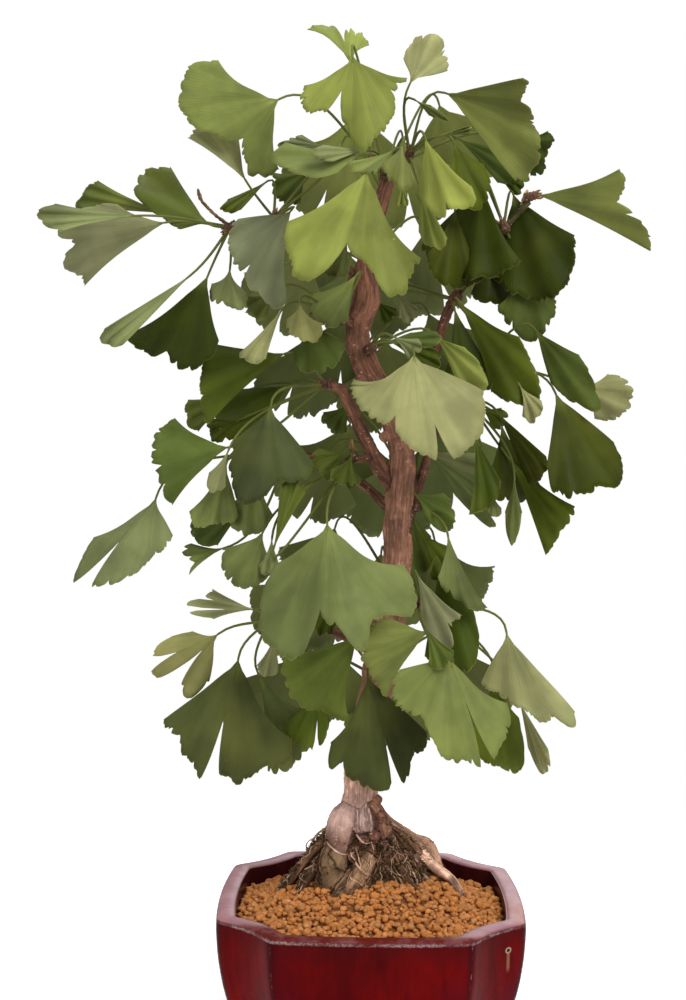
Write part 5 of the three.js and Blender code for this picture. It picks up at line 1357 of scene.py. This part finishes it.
class WoodPoints:
    """The points of the wood's skin: what each lies on, and the noise that shapes and colours it."""

    def __init__(self, points, paths):
        nearest = wood_finder(paths)
        near = [nearest(point) for point in points]
        samples = np.array([sample for _, _, sample, _ in near])
        beside = points - samples[:, :3]
        self.points = points
        self.names = [paths[index][0] for index, _, _, _ in near]
        self.kinds = [paths[index][1] for index, _, _, _ in near]
        self.radius = samples[:, 3]
        self.lump = (points[:, 2] < LUMP_TOP) & (np.linalg.norm(beside, axis=1) > self.radius + 0.9)
        self.fibre = fibre_places(beside, near, paths)
        self.furrows = 1 - 2 * np.abs(noise_at(self.fibre, 1.7, 3.0))
        self.broad = noise_at(points, 9.0, 1.0)
        self.rough = noise_at(points, 2.2, 4.0) + 0.6 * noise_at(points, 1.1, 8.0)
        self.dirt = np.clip(0.9 * noise_at(points, 3.4, 6.0) + (74 - points[:, 2]) / 26, 0, 0.85)
        self.levels = [z for z, _ in TRUNK_TONES]
        self.bands = np.array([tint_of(tone) for _, tone in TRUNK_TONES]).T

    def relief(self):
        """How far each point stands out: furrows, ridges and rings of the wood, crumbs of the lump."""
        ridges = noise_at(self.fibre, 3.6, 9.0)
        fine = noise_at(self.points, 0.9, 5.0)
        rings = np.sin(self.fibre[:, 2] / FIBRE_STRETCH * 2.1 + 3 * self.broad)
        thick = np.clip(self.radius / 6, 0.25, 1)
        push = thick * (0.34 * self.furrows + 0.42 * ridges) + 0.16 * fine + 0.55 * thick * self.broad
        push += np.where(self.radius < 3.2, 0.13, 0.05) * rings
        push = np.where(self.lump, 1.1 * self.rough + 1.3 * self.broad, push)
        bold = np.array([1.7 if name == "trunk" else 1.0 for name in self.names])
        return np.where(self.points[:, 2] > 104, push * bold, push)

    def calm(self):
        """How smooth the bark is: fully on the smooth roots, less and less up the trunk."""
        trunk = np.array([name == "trunk" for name in self.names])
        smooth = np.array([name in SMOOTH_ROOTS for name in self.names]) & ~self.lump
        return np.where(trunk, 1 - np.clip((self.points[:, 2] - 98) / 14, 0, 0.6), smooth)

    def lump_tint(self, i):
        tint = toward(tint_of(LUMP_DARK), tint_of(LUMP_LIGHT), np.clip(0.2 + 0.9 * self.rough[i], 0, 1))
        side = np.clip((abs(self.points[i, 0] + 2) - 9) / 8, 0, 1)
        return toward(tint, tint_of(LUMP_GREEN), np.clip(0.25 + 1.5 * self.broad[i], 0, 0.8) * side)

    def root_tint(self, i):
        name = self.names[i]
        tint = tint_of(ROOT_TONES.get(name, KNOB_BROWN if self.kinds[i] == "knob" else ROOT_OTHER))
        if name in ("middle", "left shoulder"):
            tint = toward(tint, tint_of(BARK_FLARE), np.clip((self.points[i, 2] - 88) / 8, 0, 1))
        return toward(tint, tint_of(LUMP_DARK), self.dirt[i] * (0.8 if name in SMOOTH_ROOTS else 1))

    def stem_tint(self, i):
        name = self.names[i]
        if name == "trunk":
            return np.array([np.interp(self.points[i, 2], self.levels, band) for band in self.bands])
        if name == "right arm":
            return tint_of(SHOOT_GREEN)
        # the branches are painted darker than the upper trunk, the right ones most: painted shade
        return tint_of(BARK_UPPER, 0.62 if "right" in name else 0.85)

    def tint(self, i):
        """The colour of a point before its noise."""
        kind = self.kinds[i]
        if self.lump[i]:
            return self.lump_tint(i)
        if kind in ("root", "knob"):
            return self.root_tint(i)
        if kind == "fine":
            return tint_of(FINE_ROOT_BROWN)
        if kind == "twig":
            return tint_of(BRACT_TAN if "bract" in self.names[i] else TWIG_BROWN)
        return self.stem_tint(i)

    def tints(self):
        tints = np.array([self.tint(i) for i in range(len(self.points))])
        # lighter on the raised ridges and bulges, darker in the grooves: partly the bark's own colour, partly
        # painted shade
        tints *= (1 + (0.2 - 0.14 * self.calm()) * self.furrows + 0.16 * self.broad)[:, None]
        tints[:, 3] = 1
        return np.clip(tints, 0, 1)


def make_wood(material):
    """Roots, trunk, branches and twigs as one skin with furrows, wrinkles and knots."""
    paths = wood_paths()
    skin = Skin()
    for name, _, path in paths:
        skin.tube(path, 24 if name == "trunk" else 14)
    skin.add(*root_lump())
    for x, y, z, radius in KNOTS:
        skin.tube(smooth_path([[x, y, z - radius, 0.3], [x, y, z, radius], [x, y, z + radius, 0.3]], 0.6), 12)
    piece = modified(skin.make("wood_bark", material), "REMESH", mode="VOXEL", voxel_size=WOOD_VOXEL * MM)
    mesh = piece.data
    points = vertex_rows(mesh, "co") / MM
    wood = WoodPoints(points, paths)
    moved = points + vertex_rows(mesh, "normal") * wood.relief()[:, None]
    mesh.vertices.foreach_set("co", (moved * MM).ravel())
    mesh.update()
    paint(piece, "tint", wood.tints())
    paint(piece, "fibre", wood.fibre)
    paint(piece, "calm", wood.calm())
    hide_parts("wood")
    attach(piece, "root")
    return piece


# ---------------------------------------------------------------- fine roots and moss
class WoodFoot:
    """Finds places on the wood's outer face around its foot, each with the way out of it."""

    def __init__(self, piece):
        self.tree = BVHTree.FromObject(piece, bpy.context.evaluated_depsgraph_get())
        self.paths = wood_paths()
        self.nearest = wood_finder(self.paths)

    def hit(self, start, direction):
        place, normal, _, _ = self.tree.ray_cast(start * MM, direction)
        return None if place is None else (np.array(place) / MM, np.array(normal))

    def around(self, angle, z):
        """The place that is seen from a bearing at a height."""
        axis = Vector(lump_place(angle, 0, z))
        start = Vector(lump_place(angle, 90, z))
        return self.hit(start, (axis - start).normalized())

    def front(self, x, z):
        return self.hit(Vector((x, -60, z)), Vector((0, 1, 0)))

    def is_bare(self, point):
        return self.paths[self.nearest(point)[0]][0] in BARE_ROOTS


def reach_of(place):
    """How far a place is from the middle of the root lump."""
    return np.linalg.norm(place[:2] - [ROOT_LUMP_X, ROOT_LUMP_Y])


def hair_path(foot, angle, z, radius, chance):
    """A rootlet that wanders down over the roots from a bearing and height."""
    swerve = chance.gauss(0, 0.5)
    lift = chance.uniform(0, 0.5)
    path = []
    for number in range(chance.randrange(6, 14)):
        found = foot.around(angle, z)
        if found is None or z < 54:
            break
        place, normal = found
        if path and np.linalg.norm(place - path[-1][:3]) > 3.2:
            break
        path.append(np.array([*(place + normal * (radius + lift)), radius * (1 - 0.03 * number)]))
        lift = min(max(lift + chance.gauss(0, 0.3), -0.1), 1.6)
        swerve += chance.gauss(0, 0.35)
        angle += 0.05 * math.sin(swerve)
        z -= 1.1 * abs(math.cos(swerve * 0.7)) + 0.1
    return path


def scar_path(foot, x, z, drop, width):
    """A hair grown tight across the front of a root."""
    path = []
    for step in range(13):
        f = step / 12
        place, normal = foot.front(x + width * (f - 0.5), z - drop * f - 1.6 * math.sin(math.pi * f))
        path.append([*(place + normal * 0.15), 0.42 + 0.12 * math.sin(7 * f)])
    return path


def make_hair_roots(material, foot):
    """Wiry rootlets, pale and dark, that wander down over the roots into the soil."""
    skin = Skin()
    chance = random.Random(12)
    made = 0
    for _ in range(HAIR_ROOTS * 3):
        if made >= HAIR_ROOTS:
            break
        angle = chance.uniform(0, 2 * math.pi)
        z = 56 + 34 * chance.random() ** 1.3
        first = foot.around(angle, z)
        if first is None or reach_of(first[0]) > 34:
            continue
        if foot.is_bare(first[0]) and chance.random() < 0.9:
            continue
        radius = chance.choice([0.11, 0.13, 0.16, 0.18, 0.22, 0.3, 0.5])
        pale = chance.random()
        tone = next(tone for share, tone in HAIR_TONES if pale < share)
        path = hair_path(foot, angle, z, radius, chance)
        if len(path) < 5:
            continue
        path[0][3] = path[-1][3] = 0.05
        skin.tube(smooth_path(path, 1.4), 4, tint=tint_of(tone))
        made += 1
    for ring in SCAR_RINGS:
        skin.tube(smooth_path(scar_path(foot, *ring), 1.0), 6, tint=tint_of(SCAR_PALE))
    piece = skin.make("hair_roots", material)
    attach(piece, "root")


def add_moss_tuft(skin, place, normal, chance):
    """Three short pointed strands that stand out from a place."""
    tint = tint_of(chance.choice(MOSS_TONES))
    for _ in range(3):
        side = np.array([chance.gauss(0, 0.8), chance.gauss(0, 0.8), chance.gauss(0, 0.7)])
        ahead = unit(normal + side)
        length = chance.uniform(0.9, 2.6)
        start = place - normal * 0.2 + side * 0.4
        bend = start + ahead * length * 0.5 + np.array([0, 0, 0.15])
        end = start + ahead * length + np.array([0, 0, -0.3])
        skin.tube(np.array([[*start, 0.26], [*bend, 0.18], [*end, 0.05]]), 3, tint=tint)


def make_moss(material, foot):
    """Tufts of moss and root fluff over the roots."""
    skin = Skin()
    chance = random.Random(44)
    made = 0
    for _ in range(MOSS_TUFTS * 3):
        if made >= MOSS_TUFTS:
            break
        angle = chance.uniform(0, 2 * math.pi)
        z = 55 + 33 * chance.random() ** 1.5
        found = foot.around(angle, z)
        if found is None or reach_of(found[0]) > 38:
            continue
        if foot.is_bare(found[0]) and chance.random() < 0.93:
            continue
        add_moss_tuft(skin, *found, chance)
        made += 1
    piece = skin.make("root_moss", material)
    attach(piece, "root")


# ---------------------------------------------------------------- the pot's outline
def pot_size(inset):
    """Half the width and half a straight side at an inset from the rim's outer edge."""
    half = POT_HALF - SIDE_BOW - inset
    return half, POT_FLAT * half / (POT_HALF - SIDE_BOW)


def pot_outline(half, flat, z, steps):
    """A ring of points at a height, with bowed sides and hollowed corners."""
    side_steps = steps * 3 // 2
    corner_steps = steps // 2
    quarter = []
    for step in range(side_steps):
        x = flat * (2 * step / side_steps - 1)
        quarter.append((x, -half - SIDE_BOW * (1 - (x / flat) ** 2)))
    for step in range(corner_steps):
        share = step / corner_steps
        dip = CORNER_DIP * 4 * share * (1 - share) * math.sqrt(0.5)
        cut = half - flat
        quarter.append((flat + cut * share - dip, -half + cut * share + dip))
    ring = []
    for cosine, sine in ((1, 0), (0, 1), (-1, 0), (0, -1)):
        ring += [[x * cosine - y * sine, (x * sine + y * cosine) * POT_DEPTH_SHARE, z] for x, y in quarter]
    return ring


def wall_gap(x, y, half, flat):
    """How far a point is inside a wall of that size, in millimetres."""
    y /= POT_DEPTH_SHARE
    square = half + SIDE_BOW * max(0, 1 - (min(abs(x), abs(y)) / flat) ** 2) - max(abs(x), abs(y))
    corner = (half + flat) / math.sqrt(2) - CORNER_DIP - (abs(x) + abs(y)) / math.sqrt(2)
    return min(square, corner)


# ---------------------------------------------------------------- soil
def ground(x, y):
    """Height of the soil's surface."""
    away = (x / MOUND_REACH_X) ** 2 + ((y - SOIL_MOUND_Y) / MOUND_REACH_Y) ** 2
    return SOIL_EDGE + SOIL_MOUND * np.exp(-away * away)


def make_soil_bed(material):
    """The soil below the loose granules, from the pot's floor up, with a pebbled top."""
    rings = [pot_outline(*pot_size(inset), z, 12) for z, inset in BED_PROFILE]
    count = len(rings[0])
    edge = rings[-1]
    for step in range(1, BED_RINGS):
        f = 1 - step / BED_RINGS
        ring = []
        for x, y in ((x * f, y * f) for x, y, _ in edge):
            pebbles = 0.6 * noise.noise(Vector((x, y, 0.0)) / 2.6)
            ring.append([x, y, ground(x, y) - BED_DROP + pebbles])
        rings.append(ring)
    points = [point for ring in rings for point in ring]
    faces = loft_faces(len(rings), count, closed_ends=False)
    faces.append(list(range(count))[::-1])
    last = len(points) - count
    faces += [[last + side, last + (side + 1) % count, len(points)] for side in range(count)]
    points.append([0, 0, ground(0, 0) - BED_DROP])
    piece = mesh_piece("soil_bed", points, faces, material)
    paint(piece, "tint", np.tile(tint_of(SOIL_SHADE), (len(points), 1)))
    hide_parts("soil")
    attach(piece, "root")


def granule_shape(chance):
    """One granule of about radius 1, crumbled to blunt facets."""
    ball = bmesh.new()
    bmesh.ops.create_icosphere(ball, subdivisions=2, radius=1.0)
    normals = np.array([[chance.gauss(0, 1) for _ in range(3)] for _ in range(9)])
    normals /= np.linalg.norm(normals, axis=1)[:, None]
    depths = np.array([chance.uniform(0.6, 0.86) for _ in range(9)])
    shift = Vector([chance.uniform(-9, 9) for _ in range(3)])
    points = []
    for vertex in ball.verts:
        facing = np.maximum(normals @ np.array(vertex.co), 0.05)
        reach = min(1.0, float((depths / facing).min()))
        points.append(np.array(vertex.co) * (reach + 0.1 * noise.noise(Vector(vertex.co) * 1.9 + shift)))
    faces = [[vertex.index for vertex in face.verts] for face in ball.faces]
    ball.free()
    return np.array(points) * 1.14, faces


def turned_granule(points, radius, chance):
    """A granule's points at its own size and turn."""
    turn = Matrix.Rotation(chance.uniform(0, 6.28), 3, "Z")
    turn = turn @ Matrix.Rotation(chance.uniform(0, 6.28), 3, "X")
    stretch = [radius * chance.uniform(0.9, 1.25), radius, radius * chance.uniform(0.75, 0.95)]
    return points @ np.array(turn).T * stretch


def clay_tint(chance):
    light = chance.uniform(0.86, 1.1) ** 0.5
    warm = chance.uniform(-1, 1)
    red, green, blue = CLAY
    return np.clip(tint_of((red * light, (green + 5 * warm) * light, (blue + 9 * warm) * light)), 0, 1)


class Pile:
    """How high the granules lie, on a grid, and how high they may lie."""

    def __init__(self):
        self.size = int(2 * POT_HALF / PILE_CELL) + 1
        axis = (np.arange(self.size) - self.size // 2) * PILE_CELL
        self.x, self.y = np.meshgrid(axis, axis, indexing="ij")
        self.target = ground(self.x, self.y)
        self.top = self.target - 2.3

    def place(self, x, y, radius, keep_clear):
        """Settles a granule on the pile and gives its height, or None where it doesn't fit."""
        i = int(round(x / PILE_CELL)) + self.size // 2
        j = int(round(y / PILE_CELL)) + self.size // 2
        reach = int(radius / PILE_CELL) + 1
        window = (slice(i - reach, i + reach + 1), slice(j - reach, j + reach + 1))
        span = (self.x[window] - x) ** 2 + (self.y[window] - y) ** 2
        inside = span < radius**2
        base = float(self.top[window][inside].mean())
        z = base + radius * 0.5
        if base > self.target[i, j] - 0.25 or keep_clear(x, y, z, radius):
            return None
        dome = z + np.sqrt(np.maximum(radius**2 - span, 0)) * 0.85
        self.top[window] = np.where(inside, np.maximum(self.top[window], dome), self.top[window])
        return z


def make_granules(material, keep_clear):
    """Loose granules that settle on each other from wall to wall, around the roots."""
    chance = random.Random(8)
    shapes = [granule_shape(chance) for _ in range(GRANULE_SHAPES)]
    skins = [Skin() for _ in range(GRANULE_PIECES)]
    pile = Pile()
    half, flat = pot_size(RIM_WIDTH)
    low, high = GRANULE_LIMITS
    placed = 0
    for _ in range(GRANULES * 6):
        if placed >= GRANULES:
            break
        x = chance.uniform(-half - SIDE_BOW, half + SIDE_BOW)
        y = chance.uniform(-half - SIDE_BOW, half + SIDE_BOW)
        radius = min(max(chance.lognormvariate(math.log(GRANULE_RADIUS), GRANULE_SPREAD), low), high)
        if wall_gap(x, y, half, flat) < radius * 0.85:
            continue
        z = pile.place(x, y, radius, keep_clear)
        if z is None:
            continue
        points, faces = shapes[chance.randrange(len(shapes))]
        points = turned_granule(points, radius, chance) + [x, y, z]
        skins[placed % GRANULE_PIECES].add(points, faces, tint=clay_tint(chance))
        placed += 1
    for number, skin in enumerate(skins):
        piece = skin.make(f"granules_{number}", material)
        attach(piece, "root")


def wood_clearance():
    """A test of whether a ball would sink into the wood."""
    paths = [path for _, kind, path in wood_paths() if kind != "twig"]
    samples = [sample for path in paths for sample in path if sample[2] < 90]
    tree = kdtree.KDTree(len(samples))
    for number, sample in enumerate(samples):
        tree.insert(sample[:3], number)
    tree.balance()

    def touches(x, y, z, radius):
        hits = tree.find_n((x, y, z), 5)
        return min(hit[2] - samples[hit[1]][3] for hit in hits) < radius * 0.35

    return touches


# ---------------------------------------------------------------- pot
def softened(ring):
    """A ring with its edges rounded: each point moves to the middle of its neighbours, twice."""
    points = np.array(ring)
    for _ in range(2):
        flat = points[:, :2]
        points[:, :2] = (flat * 2 + np.roll(flat, 1, axis=0) + np.roll(flat, -1, axis=0)) / 4
    return points.tolist()


def smooth_profile(profile):
    """The profile with points about 2 mm apart."""
    path = [[inset, 0, z, 0] for z, inset in profile]
    return [[float(z), float(inset)] for inset, _, z, _ in smooth_path(path, 2.2)]


def lofted(name, rings, material):
    points = [point for ring in rings for point in ring]
    return mesh_piece(name, points, loft_faces(len(rings), len(rings[0])), material)


def joined(piece, other, operation):
    """The piece with another added to it or cut from it."""
    modified(piece, "BOOLEAN", object=other, operation=operation, solver="EXACT")
    bpy.data.objects.remove(other)


def cut_channel(piece, x, material):
    """A channel under the foot, from front to back, and the drain hole above it."""
    half = CHANNEL_WIDTH / 2
    shape = [[x - half, -1], [x - half + 1, CHANNEL_DEPTH], [x + half - 1, CHANNEL_DEPTH], [x + half, -1]]
    ends = [[[px, y, pz] for px, pz in shape] for y in (-POT_HALF, POT_HALF)]
    joined(piece, lofted("channel", ends, material), "DIFFERENCE")
    turn = [2 * math.pi * i / 40 for i in range(40)]
    circle = [(x + DRAIN_RADIUS * math.cos(a), DRAIN_RADIUS * math.sin(a)) for a in turn]
    hole = [[[px, py, z] for px, py in circle] for z in (-1, 20)]
    joined(piece, lofted("drain", hole, material), "DIFFERENCE")


def paint_walls(piece, profile):
    """Paints how far each point is from a corner's edge, and whether it is on the outside."""
    climb = profile[:profile.index(max(profile))]
    heights, insets = zip(*climb)
    corner, outside = [], []
    for x, y, z in vertex_rows(piece.data, "co") / MM:
        half, flat = pot_size(float(np.interp(z, heights, insets)))
        ax = abs(x)
        ay = abs(y) / POT_DEPTH_SHARE
        corner.append(min(math.hypot(ax - flat, ay - half), math.hypot(ax - half, ay - flat)) * MM)
        outside.append(1.0 if wall_gap(x, y, half, flat) < 2.8 else 0.0)
    paint(piece, "corner", corner)
    paint(piece, "outside", outside)


def make_pot(material):
    """The glazed pot on its foot, with its drain holes and channels."""
    profile = smooth_profile(POT_PROFILE)
    rings = [softened(pot_outline(*pot_size(inset), z, POT_STEPS)) for z, inset in profile]
    piece = lofted("pot_glazed", rings, material)
    feet = [pot_outline(FOOT_HALF - inset, FOOT_FLAT - inset, z, POT_STEPS) for z, inset in FOOT_PROFILE]
    joined(piece, lofted("foot", feet, material), "UNION")
    for x in (-DRAIN_X, DRAIN_X):
        cut_channel(piece, x, material)
    piece.data.set_sharp_from_angle(angle=math.radians(38))
    paint_walls(piece, profile)
    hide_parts("pot")
    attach(piece, "root")


# ---------------------------------------------------------------- camera, light and floor
def make_camera():
    """The photographer's view: level with the middle of the tree, from the front."""
    yaw, pitch, roll = (math.radians(angle) for angle in (CAMERA_YAW, CAMERA_PITCH, CAMERA_ROLL))
    ahead = Vector((-math.sin(yaw) * math.cos(pitch), math.cos(yaw) * math.cos(pitch), -math.sin(pitch)))
    right = Vector((math.cos(yaw), math.sin(yaw), 0))
    up = right.cross(ahead)
    turned_right = math.cos(roll) * right + math.sin(roll) * up
    turned_up = -math.sin(roll) * right + math.cos(roll) * up
    data = bpy.data.cameras.new("camera")
    data.lens = CAMERA_LENS
    data.sensor_width = 36
    data.clip_start = 0.01
    data.clip_end = 50
    camera = bpy.data.objects.new("camera", data)
    pose = Matrix((turned_right, turned_up, -ahead)).transposed().to_4x4()
    pose.translation = Vector(VIEW) * MM
    camera.matrix_world = pose
    bpy.context.scene.collection.objects.link(camera)
    bpy.context.scene.camera = camera


def make_lamp(name, place, target, width, power):
    data = bpy.data.lights.new(name, "AREA")
    data.shape = "RECTANGLE"
    data.size = width
    data.size_y = width
    data.energy = power
    lamp = bpy.data.objects.new(name, data)
    lamp.location = place
    lamp.rotation_euler = (Vector(target) - Vector(place)).to_track_quat("-Z", "Y").to_euler()
    bpy.context.scene.collection.objects.link(lamp)


def make_surroundings():
    """White surroundings, as bright as paper to the eye and dimmer as a light."""
    world = bpy.data.worlds.new("studio")
    world.use_nodes = True
    tree = world.node_tree
    seen = tree.nodes["Background"]
    fill = tree.nodes.new("ShaderNodeBackground")
    for node, strength in ((seen, 1.0), (fill, WORLD_FILL)):
        node.inputs["Color"].default_value = (1, 1, 1, 1)
        node.inputs["Strength"].default_value = strength
    mix = tree.nodes.new("ShaderNodeMixShader")
    path = tree.nodes.new("ShaderNodeLightPath")
    tree.links.new(path.outputs["Is Camera Ray"], mix.inputs[0])
    tree.links.new(fill.outputs[0], mix.inputs[1])
    tree.links.new(seen.outputs[0], mix.inputs[2])
    tree.links.new(mix.outputs[0], tree.nodes["World Output"].inputs["Surface"])
    bpy.context.scene.world = world


def make_floor():
    rings = 12
    sides = 96
    points = []
    for step in range(1, rings + 1):
        reach = FLOOR_REACH * step / rings
        turn = np.arange(sides) / sides * 2 * math.pi
        points += [[reach * math.cos(a), reach * math.sin(a), -0.05] for a in turn]
    faces = [face[::-1] for face in loft_faces(rings, sides, closed_ends=False)]
    faces.append(list(range(sides)))
    floor = mesh_piece("floor", points, faces, floor_material())


def make_studio():
    """The camera, the surroundings, large soft lamps and a pale floor."""
    bpy.context.scene.view_settings.view_transform = "Standard"
    make_camera()
    make_surroundings()
    for lamp in LAMPS:
        make_lamp(*lamp)
    make_floor()


# ---------------------------------------------------------------- the whole scene
make_studio()
green = leaf_material()
bark = bark_material()
strand = strand_material()
grain = grain_material()
all_sprays = list_sprays()
make_sprays(all_sprays, green)
make_short_shoots(all_sprays, bark)
root_foot = WoodFoot(make_wood(bark))
make_hair_roots(strand, root_foot)
make_moss(strand, root_foot)
make_soil_bed(grain)
make_granules(grain, wood_clearance())
make_pot(glaze_material())
net = net_material()
for net_name in ("drain_net_left", "drain_net_right"):
    solid = bpy.data.objects[net_name]
    solid.data.materials.clear()
    solid.data.materials.append(net)
